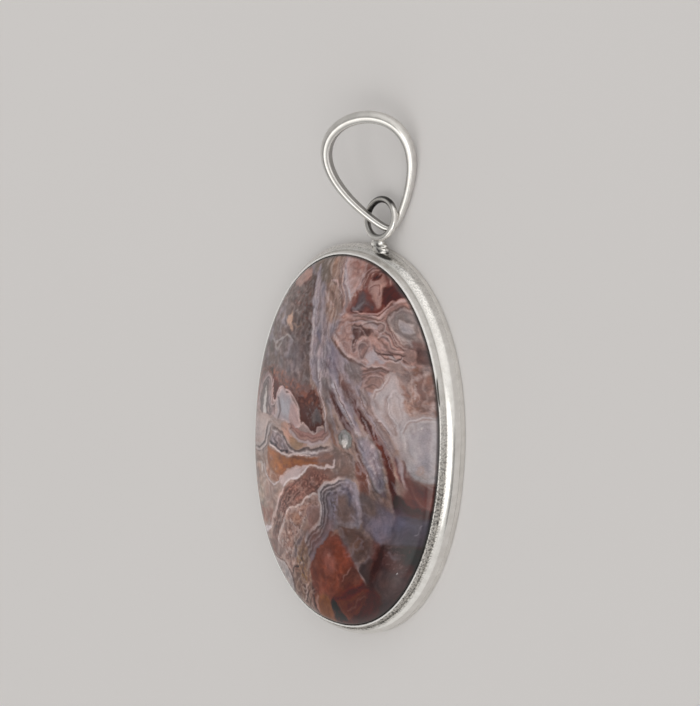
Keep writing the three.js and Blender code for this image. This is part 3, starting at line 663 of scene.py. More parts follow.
    # the brown-black field below it
    p.patch([(7.8, -9.6), (9.2, -9.8), (10.6, -9.4), (12.2, -9.2), (14.2, -9.4), (12.6, -13.4), (10.4, -16.6),
        (7.6, -19), (5, -20.6), (3.6, -20.6), (4.6, -18.6), (6.4, -16.8), (7, -15.2), (6, -13.6), (6.6, -12),
        (7.4, -10.8)], [(0, (84, 68, 66)), (0.7, (74, 60, 60))])
    p.patch([(8.6, -13), (10.4, -12.8), (11.4, -13.6), (10, -15.6), (8.4, -16.4), (7.8, -15)], (92, 78, 76),
        soft=1, strength=0.8)
    p.patch([(9.4, -10.4), (11.4, -10.4), (12.8, -11.2), (11.8, -12.8), (9.6, -12.2)], (96, 62, 58), soft=0.8,
        strength=0.7)
    p.mottle([(9.6, -9.8), (12.6, -9.8), (11.6, -12.8), (9.6, -12)], (120, 96, 94), 0.35, 39, soft=0.6,
        amount=0.6, low=0.25)
    p.patch([(7.6, -9.6), (9, -9.6), (8.8, -11.2), (8.2, -12.4), (7.4, -13.4), (7, -12.2), (7.6, -11)],
        (112, 74, 68), soft=0.6, strength=0.8)
    p.vein([(10, -9.4), (9.3, -10.4), (8.7, -11.6), (8.1, -13), (7.4, -14.4)], (0.4, 1.1, 1.2, 1, 0.6),
        (62, 40, 38), soft=0.7, rough=0.15)
    p.vein([(10.2, -10.4), (10.6, -10.9), (11.3, -10.6)], (0.2, 0.5, 0.2), (112, 98, 102), soft=0.35,
        rough=0.15, strength=0.7)
    p.vein([(6.2, -12.8), (7, -12), (7.6, -11.3)], (0.2, 0.3, 0.1), (120, 108, 112), soft=0.3, strength=0.7)
    p.patch([(6.2, -12.8), (7.4, -11.4), (8, -11.8), (7.6, -13.4), (7, -14.6), (6.4, -14.2)], (82, 70, 68),
        soft=0.4, strength=0.8)
    p.vein([(5.7, -12.6), (6.1, -13.6), (6.6, -14.6), (7, -15.4), (7.7, -16)], (0.15, 0.2, 0.1),
        (150, 136, 136), soft=0.12)

    p.patch([(-2.4, -15), (0, -16), (3, -16), (6, -14.6), (8.4, -16), (6, -20), (2, -22), (-2, -22)],
        (84, 50, 44), soft=0.8)

    # the rust-red field at the bottom, with its clear olive-brown top
    p.patch([(2.6, -8.2), (4, -8), (5.6, -8.2), (7, -8.8), (8, -9.8), (7.6, -11.2), (6.4, -12.2), (5.6, -13),
        (4.8, -12.4), (4, -11.2), (3, -10)], [(0, (112, 94, 90)), (0.7, (110, 86, 78)), (1.4, (108, 80, 72))],
        soft=1.1, rough=0.25)
    p.patch([(4.4, -9.8), (5.4, -9.4), (6.4, -10), (6.4, -11.2), (5.6, -11.8), (4.6, -11)], (114, 90, 80),
        soft=0.9, rough=0.2, strength=0.8)
    p.patch([(1, -9.3), (2.2, -9.7), (3.4, -10), (4.2, -10.9), (5, -12), (5.8, -13.4), (6.4, -14.8),
        (5.4, -15.6), (4.2, -16.4), (2.8, -17.2), (1.2, -17.9), (0.2, -18.6), (-1.4, -19.4), (-1.8, -17.8),
        (-2, -16), (-2.1, -14.4), (-1.9, -12.8), (-1.2, -11.5), (-0.4, -10.6), (0.6, -10)],
        [(0, (112, 62, 52)), (0.5, (122, 64, 50)), (2, (130, 68, 50))], soft=0.4)
    p.mottle([(0, -10.2), (3.6, -10.4), (5.6, -13.4), (3, -16.6), (-1.4, -18.6), (-1.8, -13)], (106, 58, 50),
        1.1, 41, amount=0.7, low=-0.2)
    p.mottle([(0, -10.2), (3.6, -10.4), (5, -13.4), (2, -16.6), (-1.4, -18.6), (-1.6, -13)], (146, 84, 66),
        0.8, 43, amount=0.5)
    p.patch([(3.4, -14.6), (4.6, -13.6), (5.6, -13.2), (6.2, -14.4), (4.8, -15.4), (3.4, -16.2)],
        (98, 62, 54), strength=0.85)
    p.vein([(3.2, -15.2), (3.6, -14.6), (4.2, -14), (4.8, -13.4)], 0.1, (166, 120, 108), soft=0.15,
        strength=0.6)
    p.patch([(1.25, -12.6), (1.45, -12.35), (1.65, -12.7), (1.45, -13)], (162, 116, 104), soft=0.3,
        rough=0.15)
    p.vein([(1.9, -10.2), (2.3, -9.8), (2.9, -9.4)], (0.1, 0.25, 0.1), (168, 130, 116), soft=0.25)
    p.vein([(3, -9), (3.8, -10), (4.6, -11.2), (5.3, -12.2), (5.9, -13)], (0.3, 0.9, 0.5, 0.3),
        (128, 115, 117), soft=0.8, rough=0.15, strength=0.5)
    p.vein([(1.8, -18.1), (3.2, -17.7), (4.6, -17), (5.8, -16.3), (6.7, -15.6)], (0.4, 1.3, 1.2, 0.8),
        [(0, (122, 66, 50)), (0.4, (112, 60, 48))], soft=0.6, rough=0.2, strength=1)
    p.vein([(1.8, -17.8), (3, -17.2), (4.4, -16.4), (5.6, -15.6), (6.4, -14.9)], (0.2, 0.7, 0.8, 0.5),
        [(0, (86, 33, 22)), (0.35, (92, 40, 28))], soft=0.4, strength=0.9)
    p.patch([(2.2, -18.2), (3.6, -17.6), (5, -16.8), (6.4, -15.8), (6.6, -16.8), (5.6, -18), (4.4, -19),
        (3.2, -20), (2.6, -19.2)], [(0, (112, 70, 58)), (0.6, (114, 64, 50))], rough=0.2, strength=0.7)
    p.vein([(3.4, -18.9), (4.4, -18.2), (5, -17.4), (5.8, -16.9), (6.6, -16.4)], (0.1, 0.2, 0.1),
        (140, 96, 90), strength=0.6)
    p.patch([(-1.6, -18.4), (-0.4, -17.6), (0.8, -17.8), (1, -19), (0.9, -20.4), (0.2, -21.6), (-1.2, -21.6),
        (-1.8, -20)], [(0, (134, 84, 60)), (0.5, (130, 78, 46)), (0.9, (118, 68, 38))], soft=0.6, rough=0.15)
    p.patch([(0.9, -18.3), (1.4, -17.8), (2, -18.1), (2.4, -19.1), (3, -20.1), (2.1, -20.7), (1.1, -20.4),
        (0.8, -19.3)], [(0, (70, 46, 44)), (0.25, (44, 34, 40))], soft=0.2)

    # the left: drips that hang from the mossy field
    p.patch([(-16, 7), (-12.4, 6), (-10.4, 5), (-9, 4.4), (-6.4, 5), (-4.6, 3), (-3, 1.6), (0.4, 1.8),
        (0.6, 0.6), (-1, 0.4), (-4, 0.4), (-6, 0.8), (-12, 0.8), (-16, 0.4)], [(0, (150, 128, 122)),
        (1, (160, 138, 132))], soft=0.4)
    p.patch([(-12.9, 5.2), (-12.2, 6.4), (-10.6, 7.1), (-8.6, 6.8), (-6.6, 6.5), (-4.4, 6.2), (-2.6, 6.1),
        (-1.2, 5.4), (-0.6, 4.2), (-4.6, 3.6), (-6.8, 4.5), (-10.4, 5)], [(0, (116, 94, 89)),
        (0.5, (124, 92, 84)), (1, (118, 90, 84))], soft=1.1, rough=0.3)
    p.patch([(-4.9, 4.2), (-4, 4.6), (-3.2, 5.2), (-2.5, 5.7), (-1.6, 5.3), (-0.9, 4.5), (-0.3, 3.4),
        (0.05, 2.4), (0.25, 1.9), (-0.4, 1.95), (-1, 1.4), (-1.5, 1), (-2.3, 1), (-3, 1.5), (-3.4, 1.9),
        (-3.9, 1.5), (-4.15, 2.2), (-4.4, 3.1)], [(0, (84, 48, 43)), (0.4, (92, 55, 49)),
        (1.2, (90, 62, 58))], soft=0.25, rough=0.22)
    p.mottle([(-4.6, 5.8), (-1.4, 5.8), (-0.8, 4.4), (-2.4, 3.8), (-4.4, 3.6)], (128, 78, 62), 0.7, 51,
        amount=0.85, low=-0.1)
    p.patch([(-2.2, 2.9), (-1.9, 3.8), (-1.2, 4.1), (-0.6, 3.4), (-0.2, 2.5), (-0.8, 2.1), (-1.5, 1.9),
        (-2.1, 2.2)], [(0, (96, 68, 64)), (0.4, (104, 92, 90))], soft=0.7, rough=0.25, strength=0.9)
    p.mottle([(-2.8, 4.4), (-0.8, 4.6), (-0.3, 2.4), (-2.6, 1.6)], (124, 116, 114), 0.4, 53, soft=0.6,
        amount=0.5, low=0.15)
    p.patch([(-10.5, 5.9), (-10.1, 6.5), (-9.8, 5.6), (-9.1, 5.3), (-8.7, 4.9), (-8.8, 4.1), (-9.1, 3.3),
        (-9.55, 3), (-9.95, 3.5), (-10.2, 4.4), (-10.4, 5.2)], [(0, (112, 54, 44)), (0.25, (98, 42, 34)),
        (0.6, (88, 40, 34))], soft=0.15)
    p.patch([(-12.4, 5.4), (-12.2, 6.2), (-11, 6.8), (-10.4, 6.9), (-10.2, 6), (-10.9, 5.7), (-11.6, 5.5)],
        [(0, (128, 84, 66)), (0.4, (116, 68, 52))], soft=0.35, rough=0.2)
    p.patch([(-11, 6.3), (-10.5, 6.7), (-10.2, 6.1), (-10.6, 5.8)], (62, 38, 34), soft=0.3, rough=0.15)
    p.mottle([(-10.2, 6.9), (-7, 6.6), (-4.6, 5.6), (-6.2, 4.4), (-8.8, 4.8), (-10.2, 5.4)], (156, 98, 74),
        0.55, 55, soft=0.6, low=0.05)
    p.mottle([(-9.8, 6.4), (-6.4, 6), (-4.2, 4.6), (-6.4, 4.6), (-9, 4.9)], (98, 58, 50), 0.4, 56, soft=0.5,
        amount=0.85)
    p.vein([(-8.9, 4.9), (-8.2, 5), (-7.5, 4.85), (-7.1, 4.6), (-6.5, 4.9), (-5.8, 4.4), (-5, 4),
        (-4.3, 3.2)], (0.25, 0.35, 0.3, 0.4, 0.3), (92, 56, 50), soft=0.3, rough=0.12, strength=0.85)
    # pale lobes with their outlines
    p.patch([(-8.9, 3.5), (-8.6, 4.4), (-7.9, 4.75), (-7.1, 4.35), (-6.5, 4.5), (-5.9, 3.9), (-5.2, 3.5),
        (-4.6, 3), (-4.25, 2.2), (-4, 1.5), (-4.4, 0.9), (-5.8, 0.9), (-7, 1), (-8.4, 1), (-9.4, 1.1),
        (-9.2, 2.2)], [(-0.1, pale_pink), (0.15, (190, 170, 168)), (0.5, (166, 154, 156)),
        (1.2, (172, 168, 172))], soft=0.12)
    p.patch([(-5.9, 3.4), (-5, 3.3), (-4.4, 2.4), (-4.1, 1.5), (-4.8, 1.1), (-5.9, 1.3), (-6.2, 2.2)],
        (184, 152, 146), strength=0.8)
    p.vein([(-8.6, 3.4), (-8.2, 2.6), (-8.1, 1.9), (-8.4, 1.2)], (0.25, 0.5, 0.3), (116, 102, 102), soft=0.25,
        strength=0.85)
    p.vein([(-9.2, 2.6), (-8.9, 2), (-9.1, 1.3)], (0.15, 0.3, 0.15), (184, 162, 156), soft=0.15, strength=1)
    p.vein([(-10.2, 5.2), (-10, 4.2), (-9.75, 3.2), (-9.35, 2.85), (-9, 3.2), (-8.8, 4.2), (-8.2, 4.9),
        (-7.4, 4.7), (-6.6, 4.8), (-5.8, 4.2)], 0.16, (196, 166, 162), soft=0.1, strength=0.9)
    p.lace([(-13.6, 1.2), (-13.5, 2.6), (-13.2, 3.8), (-12.5, 4.9), (-11.5, 5.4), (-10.8, 5), (-10.4, 4),
        (-10.2, 2.9), (-9.8, 2.2), (-9.5, 1.2)], [(-0.8, (128, 112, 110)), (-0.55, (108, 94, 92)),
        (-0.3, (160, 140, 138)), (-0.1, (190, 166, 164)), (0.12, (176, 146, 144)), (0.4, (134, 110, 104))],
        rough=0.08, ends=(0.1, 0.02))
    p.patch([(-12.9, 0.8), (-12.8, 2.8), (-12.4, 4.1), (-11.7, 4.75), (-11.1, 4.3), (-10.8, 3), (-10.7, 1.7),
        (-10.2, 1)], [(0, (150, 132, 130)), (0.25, (104, 92, 90)), (0.45, (120, 106, 104))], soft=0.15)
    p.patch([(-12.1, 1), (-12, 3.4), (-11.8, 4.1), (-11.5, 4.1), (-11.3, 3.2), (-11.3, 2), (-11.1, 1)],
        [(0, (150, 142, 138)), (0.2, (186, 180, 176))], soft=0.15)
    p.vein([(-10.4, 1.1), (-9.9, 1.5), (-9.6, 2.2)], 0.5, (122, 104, 102), soft=0.3)
    # far left, on the side of the dome that faces away
    p.lace([(-15.4, 1.4), (-14.2, 1.4), (-13.8, 2.6), (-13.6, 4), (-13.2, 5.2), (-12.4, 6)],
        [(-0.4, pale_pink), (-0.1, grey), (0.2, pink), (0.5, brown), (0.9, grey)], rough=0.1,
        ends=(0.05, 0.1))

    # the pale field at the far left, and the banding that runs from it to the middle
    p.patch([(-16, 1), (-12, 1), (-8, 1.1), (-5.6, 1), (-4.6, 0.4), (-3, 0.3), (-0.8, 0.9), (0.4, 1.2),
        (1.6, 0.2), (1.4, -0.4), (-1, -1), (-4, -1.8), (-6, -1.6), (-7.6, -0.4), (-9.4, 0), (-10.4, -1.2),
        (-11, -2.6), (-12.6, -3), (-16, -3.2)], [(0, (164, 142, 134)), (0.6, (176, 156, 148)),
        (1.5, (180, 164, 158))], soft=0.3)
    for low_line in (0.75, 0.3, -0.5, -1.3, -2.1):
        p.vein([(-15.6, low_line - 0.2), (-14, low_line), (-12.4, low_line * 0.9 + 0.1),
            (-11.2, low_line * 0.9)], (0.1, 0.14, 0.1), (150, 130, 124), strength=0.35)
    p.vein([(-14.4, 0.6), (-13.6, 0.7), (-13, 0.6)], (0.1, 0.4, 0.1), (130, 114, 108), soft=0.3, strength=0.6)
    # a pink bowl-shaped fold with a dark line under it
    p.patch([(-7.6, 0.7), (-6.6, 1), (-5.6, 0.8), (-4.8, 0.3), (-3.4, 0.1), (-2.4, -0.2), (-2.8, -0.9),
        (-4.2, -1.5), (-5.4, -1.3), (-6.4, -0.8), (-7.4, -0.2)], [(0, (176, 140, 124)),
        (0.5, (186, 146, 130))], soft=0.3)
    p.patch([(-5.8, -0.4), (-4.4, -0.3), (-3.2, -0.5), (-3.6, -1.2), (-4.6, -1.5), (-5.6, -1.1)],
        (158, 126, 100), soft=0.35, strength=0.9)
    p.lace([(-6.2, 1), (-5.6, 0.6), (-4.9, 0.2), (-4, 0), (-2.8, 0), (-1.6, 0.1), (-0.6, 0.5), (0.4, 1),
        (1, 1.6)], [(-0.6, (170, 154, 154)), (-0.35, (180, 160, 158)), (-0.15, (140, 112, 106)), (0.05, pink),
        (0.25, (136, 100, 94)), (0.45, (168, 128, 120)), (0.7, (150, 110, 102))], ends=(0.1, 0.05))
    p.vein([(-6.2, 0.9), (-5.7, 1.2), (-5.4, 0.8), (-5.8, 0.5)], 0.14, (120, 84, 76), soft=0.12)
    p.lace([(-10.2, 0.2), (-9.2, 0), (-8.2, 0), (-7.3, -0.3), (-6.6, -0.9), (-5.8, -1.35), (-4.8, -1.6),
        (-4, -1.55), (-3.2, -1.2), (-2, -0.9), (-0.8, -0.7), (0.4, -0.25), (1.3, 0.1)],
        [(-0.95, (140, 124, 124)), (-0.75, (118, 104, 104)), (-0.6, (170, 158, 158)),
        (-0.42, (196, 186, 184)), (-0.28, (140, 126, 124)), (-0.12, (100, 86, 84)), (0.02, (92, 78, 75)),
        (0.12, (160, 134, 124))], rough=0.07, ends=(0.1, 0.06), strength=0.88)
    p.vein([(-10, 0.9), (-8.6, 0.5), (-7.4, 0.5), (-6.6, 0.1)], 0.14, (140, 116, 108), soft=0.15,
        strength=0.6)
    # the grey pocket with dark spots along its pale floor
    p.patch([(-10.2, -0.2), (-9.2, -0.5), (-8, -0.4), (-7.2, -0.8), (-6.4, -1.5), (-5.4, -2), (-5, -2.3),
        (-6.2, -2.5), (-8, -2.5), (-9.4, -2.4), (-10.1, -1.8)], [(0, (150, 132, 130)),
        (0.35, (128, 112, 112))], soft=0.2)
    p.mottle([(-9.9, -0.8), (-7.4, -0.8), (-5.6, -2.2), (-9.6, -2.3)], (166, 148, 150), 0.5, 57, soft=0.3,
        low=0)
    p.vein([(-9.8, -1.8), (-9.1, -2.1), (-8.2, -2.1), (-7.4, -2.3), (-6.6, -2.25), (-6, -2.2)],
        (0.3, 0.35, 0.3, 0.2), (70, 58, 64), soft=0.15, rough=0.14, strength=1)
    p.vein([(-8.9, -1.5), (-8.2, -1.7)], 0.2, (88, 74, 80), rough=0.1, strength=1)
    p.vein([(-10.1, -1.6), (-9.9, -2.1), (-9.2, -2.4), (-8.2, -2.55), (-7, -2.65), (-6, -2.55), (-5.2, -2.35),
        (-4.2, -2.3), (-3.2, -2), (-1.8, -1.7)], (0.2, 0.22, 0.2, 0.1), (198, 180, 174), soft=0.1, strength=1)
    # the grey lines that bound the pale field
    p.lace([(-16, -3.4), (-14.2, -3.25), (-12.6, -3.1), (-11.6, -2.7), (-11, -1.9), (-10.7, -1),
        (-10.5, -0.2), (-10, 0.4), (-9, 0.45)], [(-1, (120, 100, 92)), (-0.8, (150, 130, 122)),
        (-0.62, (112, 98, 96)), (-0.42, (180, 168, 164)), (-0.22, (150, 138, 134)), (-0.08, (92, 80, 80)),
        (0.06, (100, 88, 88)), (0.2, (168, 152, 146)), (0.4, (186, 172, 166))], rough=0.04, ends=(0.02, 0.25))

    # orange-brown band, and the pale wedge under it
    p.patch([(-10.4, -2.6), (-9.4, -2.7), (-8, -2.8), (-6, -2.8), (-4.6, -2.4), (-3.2, -2.15), (-1.6, -1.9),
        (-0.2, -1.5), (0.8, -1), (2, -0.9), (2.2, -1.6), (1.2, -2.2), (0, -2.5), (-1.2, -2.7), (-2.4, -2.8),
        (-3.4, -3.2), (-4.8, -3.7), (-5.8, -4.2), (-6.6, -4.8), (-7.2, -5.4), (-8.4, -5.8), (-9.4, -5.8),
        (-10.2, -5)], [(0, (142, 96, 72)), (0.3, (150, 94, 60)), (0.9, (160, 100, 56))], soft=0.2)
    p.mottle([(-10.2, -3), (-6, -3), (-2, -2.2), (-6.6, -4.8), (-9.6, -5.6)], (126, 78, 60), 0.8, 59,
        soft=0.5, amount=0.7, low=0)
    p.vein([(-5, -2.7), (-3.2, -2.4), (-1.6, -2.2), (0.2, -1.9), (1.4, -1.5)], (0.2, 0.35, 0.2),
        (116, 78, 66), strength=0.7)
    p.patch([(-0.6, -1.2), (0.4, -0.8), (2.4, -0.7), (2.5, -2), (0.6, -2.4), (-0.8, -2.4)], (126, 104, 99),
        soft=1, rough=0.3, strength=0.85)
    p.patch([(-10.2, -4.4), (-9.2, -5), (-8, -5.2), (-7.2, -5.4), (-8.2, -6.3), (-9.6, -6.2), (-10.3, -5.6)],
        (150, 106, 84), soft=0.3)
    p.patch([(-2.4, -2.9), (-3.6, -3.3), (-4.9, -3.7), (-5.8, -4.4), (-6.8, -5), (-7.6, -5.9), (-7, -6.6),
        (-6.2, -6), (-5.2, -5.5), (-4.2, -5), (-3.4, -4.4), (-2.9, -3.7)], [(0, (176, 148, 140)),
        (0.4, (192, 172, 168))], soft=0.15)
    p.vein([(-2, -2.85), (-2.7, -3.5), (-3.2, -4.2), (-3.9, -4.7), (-4.9, -5.2), (-5.8, -5.6), (-6.6, -6.4)],
        (0.12, 0.3, 0.2), (208, 194, 190), soft=0.12, strength=1)
    p.vein([(2.2, -1.4), (2.2, -1.8), (1.6, -2.2), (0.8, -2.4), (0.4, -2.7), (-0.6, -2.75), (-1.6, -2.75),
        (-2.4, -3)], (0.3, 0.35, 0.2, 0.15), (196, 176, 170), soft=0.14, rough=0.1, strength=1)

    # below it at the left: beige and grey fields
    p.patch([(-16, -3.6), (-12.2, -3.9), (-10.6, -3.4), (-10.2, -5.4), (-9.6, -6.4), (-8.4, -6.5),
        (-7.6, -6.2), (-6.9, -6.8), (-7.8, -8.2), (-8.6, -9.8), (-9.4, -11), (-10.2, -11.8), (-14, -12.6),
        (-16, -8)], [(0, (158, 134, 124)), (1.2, (146, 124, 112))], soft=0.3)
    p.patch([(-15.4, -3.8), (-12.6, -4.2), (-11.2, -3.8), (-10.6, -4.4), (-11.8, -4.9), (-15.2, -5.2)],
        (134, 110, 98), soft=0.3)
    p.vein([(-12.4, -5), (-12, -4.8), (-11.6, -5.1), (-11.6, -5.8)], (0.2, 0.5, 0.5), (176, 162, 154),
        soft=0.25, strength=1)
    p.vein([(-11, -4.8), (-10.8, -5.4), (-10.5, -6)], (0.2, 0.3, 0.1), (176, 160, 154), strength=1)
    p.vein([(-10.7, -4.6), (-10.5, -5.4), (-10.2, -6)], (0.3, 0.35, 0.2), (118, 92, 82), soft=0.25)
    p.vein([(-10.5, -6), (-9.9, -6.4), (-9.2, -6.6), (-8.5, -6.65), (-7.9, -6.2), (-7.4, -6)],
        (0.1, 0.22, 0.1), (196, 180, 176), soft=0.1, strength=1)
    p.patch([(-12.9, -8.6), (-12.3, -7.6), (-11.4, -7.6), (-11.1, -8.6), (-11.5, -9.6), (-12.5, -9.6)],
        [(0, (132, 118, 104)), (0.3, (160, 144, 130)), (0.7, (140, 124, 110))], strength=0.8)
    p.patch([(-13.8, -9.6), (-11.4, -10.2), (-9.8, -9.6), (-8.7, -10), (-9.4, -11.3), (-10.4, -11.4),
        (-12.4, -12.2)], [(0, (150, 112, 98)), (0.5, (138, 92, 78))])
    p.patch([(-10.2, -6.8), (-8.6, -7), (-8.2, -8.6), (-9.2, -9.8), (-10.6, -9)], (156, 124, 112), soft=0.8,
        strength=0.7)
    p.patch([(-13.2, -13.6), (-11.6, -12.4), (-10.6, -11.9), (-9.8, -11.6), (-9.5, -12), (-10.3, -12.7),
        (-11.4, -13.2), (-12.6, -14)], [(0, (170, 146, 140)), (0.2, (212, 202, 202))], soft=0.15)

    # the brown lacy band that runs down to the left from the middle
    p.patch([(0.9, -2.6), (-0.4, -2.9), (-1.8, -3), (-2.6, -3.6), (-3.3, -4.5), (-4.4, -5.2), (-5.4, -5.8),
        (-6.4, -6.4), (-7.2, -7.6), (-8, -9), (-8.6, -10.4), (-9.2, -11.6), (-9.4, -13.2), (-8.8, -15.2),
        (-7.6, -14.8), (-7.8, -13), (-7.2, -11.8), (-6.8, -10.4), (-6, -9.4), (-5.4, -8.6), (-4.2, -8),
        (-3, -7.2), (-2, -6.4), (-1, -6), (-0.2, -5.4), (0.8, -4.5), (2.2, -3.8), (3.2, -3.4), (2, -2.8)],
        [(0, (136, 102, 92)), (0.4, (124, 86, 76)), (1, (118, 78, 68))], soft=0.2, rough=0.15)
    p.mottle([(-0.4, -3.2), (-4, -5.2), (-7.4, -8.2), (-9, -12), (-7, -10.8), (-4, -7.8), (0, -4.8)],
        (92, 62, 58), 0.5, 61, soft=0.4, amount=0.75, low=-0.1)
    p.mottle([(0.4, -2.8), (-4, -5.2), (-7.4, -8.2), (-9, -12), (-7, -10.8), (-4, -7.8), (1, -4.4)],
        (158, 112, 98), 0.35, 63, soft=0.3, low=0.15)
    for shift in (-0.55, -0.1, 0.35, 0.7):
        p.lace([(-2, -4.2), (-3.6, -5.6), (-5.2, -6.9), (-6.6, -8.4), (-7.4, -9.8), (-8, -11.2),
            (-8.5, -12.8)], [(shift - 0.12, (84, 58, 54)), (shift + 0.02, (80, 54, 50)),
            (shift + 0.14, (160, 128, 116))], rough=0.16, ends=(0.3, 0.1), strength=0.65)
    p.vein([(-6.6, -6.6), (-7.2, -7.4), (-7.8, -8.6), (-8.3, -9.8), (-8.9, -10.8), (-9.5, -11.6)],
        (0.2, 0.3, 0.3, 0.5), (188, 162, 154), soft=0.15, strength=0.9)
    p.patch([(2.6, -0.6), (3.4, -1.4), (2.8, -2.6), (1.6, -2.8), (0.4, -3.2), (1.8, -3.6), (3.2, -3.3),
        (4.4, -2.8), (4.4, -1.6), (3.6, -0.6)], (124, 100, 92), soft=0.4, strength=0.7)

    # the pale lacy band beside it
    p.patch([(-0.3, -5.6), (-1.2, -6), (-2.2, -6.6), (-3.2, -7.5), (-4.4, -8.3), (-5.5, -8.8), (-6.2, -9.6),
        (-6.8, -10.8), (-7.4, -12), (-7.9, -13), (-8, -14.6), (-6.6, -15.6), (-5.6, -16.4), (-5, -15.4),
        (-4.4, -14.2), (-4.6, -13), (-4.2, -11.6), (-3.4, -10.4), (-2.6, -9.4), (-1.9, -8.6), (-1, -7.6),
        (-0.2, -7), (0, -6.2)], [(0, (176, 152, 144)), (0.3, (166, 134, 122)), (1, (150, 116, 104))],
        soft=0.15, rough=0.12)
    p.mottle([(-0.6, -6.2), (-4.4, -8.6), (-7, -12), (-7.4, -14.6), (-5, -14.6), (-3.6, -11), (-1, -8)],
        (186, 164, 156), 0.55, 65, soft=0.4, amount=0.85, low=0)
    p.mottle([(-0.6, -6.2), (-4.4, -8.6), (-7, -12), (-7.4, -14.6), (-5, -14.6), (-3.6, -11), (-1, -8)],
        (110, 78, 68), 0.4, 67, soft=0.3, amount=0.75, low=0.15)
    p.patch([(-5, -9.2), (-3.6, -9), (-3.4, -10), (-4.6, -10.2)], (156, 112, 90), strength=0.8)
    p.vein([(0, -5.7), (-0.8, -5.9), (-1.6, -6.3), (-2.4, -6.9), (-3.2, -7.6), (-4.2, -8), (-5.2, -8.6),
        (-6.1, -9.4), (-6.7, -10.6), (-7.2, -11.6), (-7.9, -12.6), (-8.2, -13.6)],
        (0.15, 0.3, 0.2, 0.2, 0.3, 0.15), (196, 176, 168), soft=0.12, rough=0.08, strength=1)
    p.vein([(-0.4, -7.6), (-1.2, -7.3), (-2, -7.9), (-2.1, -9), (-1, -9.6), (0.2, -9.2)], (0.1, 0.2, 0.1),
        (120, 88, 84), soft=0.15, strength=0.7)
    p.patch([(-2.2, -8), (-1.2, -7.4), (-0.2, -7.2), (0.2, -8.4), (-0.2, -9.6), (-1.2, -10.2), (-2, -9.6)],
        [(0, (150, 124, 120)), (0.5, (128, 96, 90))], soft=0.3, strength=0.8)

    # grey bands that turn round the middle of the lower half
    p.patch([(0.2, -5), (1.2, -4.4), (2.4, -3.9), (3.6, -3.3), (4.8, -3.1), (5.8, -3.8), (6.2, -5.2),
        (6.4, -6.8), (6.2, -8.2), (4.6, -8.6), (3, -8.6), (2.6, -9.4), (1.2, -9.6), (0.6, -9.8), (0.3, -8),
        (-0.1, -6.4)], [(0, (150, 140, 144)), (0.8, (122, 110, 116)), (2, (110, 96, 96))], soft=0.3)
    p.lace([(4.4, -3), (3.4, -3.25), (2.4, -3.8), (1.2, -4.3), (0.3, -4.9), (-0.1, -5.8), (0.1, -6.8),
        (0.3, -7.8), (0.1, -8.8), (-0.5, -9.7), (-1.3, -10.4), (-2.1, -11.2), (-2.6, -12.2), (-3.4, -13.4),
        (-4.2, -14.6)], [(-0.4, (150, 120, 110)), (-0.2, (188, 172, 168)), (0, (196, 184, 182)),
        (0.14, (96, 84, 84)), (0.3, (110, 98, 100)), (0.42, (176, 164, 164)), (0.56, (94, 82, 84)),
        (0.74, (104, 92, 94)), (0.9, (158, 148, 150)), (1.1, (92, 82, 86)), (1.35, (118, 106, 112)),
        (1.6, (140, 130, 138)), (1.9, (118, 106, 112))], rough=0.08, ends=(0.1, 0.15), strength=0.88)
    p.patch([(2.8, -5.4), (4.2, -5.2), (5.2, -6), (5.4, -7.4), (4.6, -8.4), (3.2, -8.4), (2.6, -7)],
        [(0, (122, 106, 104)), (0.6, (114, 93, 87))], soft=0.9, rough=0.2)
    p.mottle([(1.8, -5.2), (2.8, -5.4), (2.6, -8.4), (1.8, -8.4)], (160, 150, 166), 0.5, 69, soft=0.4, low=0)
    p.mottle([(2.2, -3.8), (5.6, -3.6), (6.4, -7.6), (4.6, -5), (2.6, -5)], (156, 146, 156), 0.6, 71,
        soft=0.5, amount=0.7, low=0)
    p.vein([(3.6, -4.2), (4.4, -4.4), (4.8, -5.2), (4.6, -6)], (0.2, 0.5, 0.2), (84, 76, 90), soft=0.4,
        strength=0.7)
    p.vein([(5.3, -3.4), (5.8, -4.4), (5.9, -5.6)], (0.2, 0.4, 0.1), (168, 156, 162), soft=0.3, strength=0.7)
    p.vein([(6.4, -5.8), (6.8, -7.2), (7.6, -8.6), (8.6, -9.8)], (0.1, 0.3, 0.1), (88, 76, 80), soft=0.4,
        strength=0.5)
    p.vein([(5.2, -7.2), (5.8, -7.6), (6.4, -7.4)], (0.1, 0.25, 0.1), (150, 140, 146), soft=0.25,
        strength=0.7)
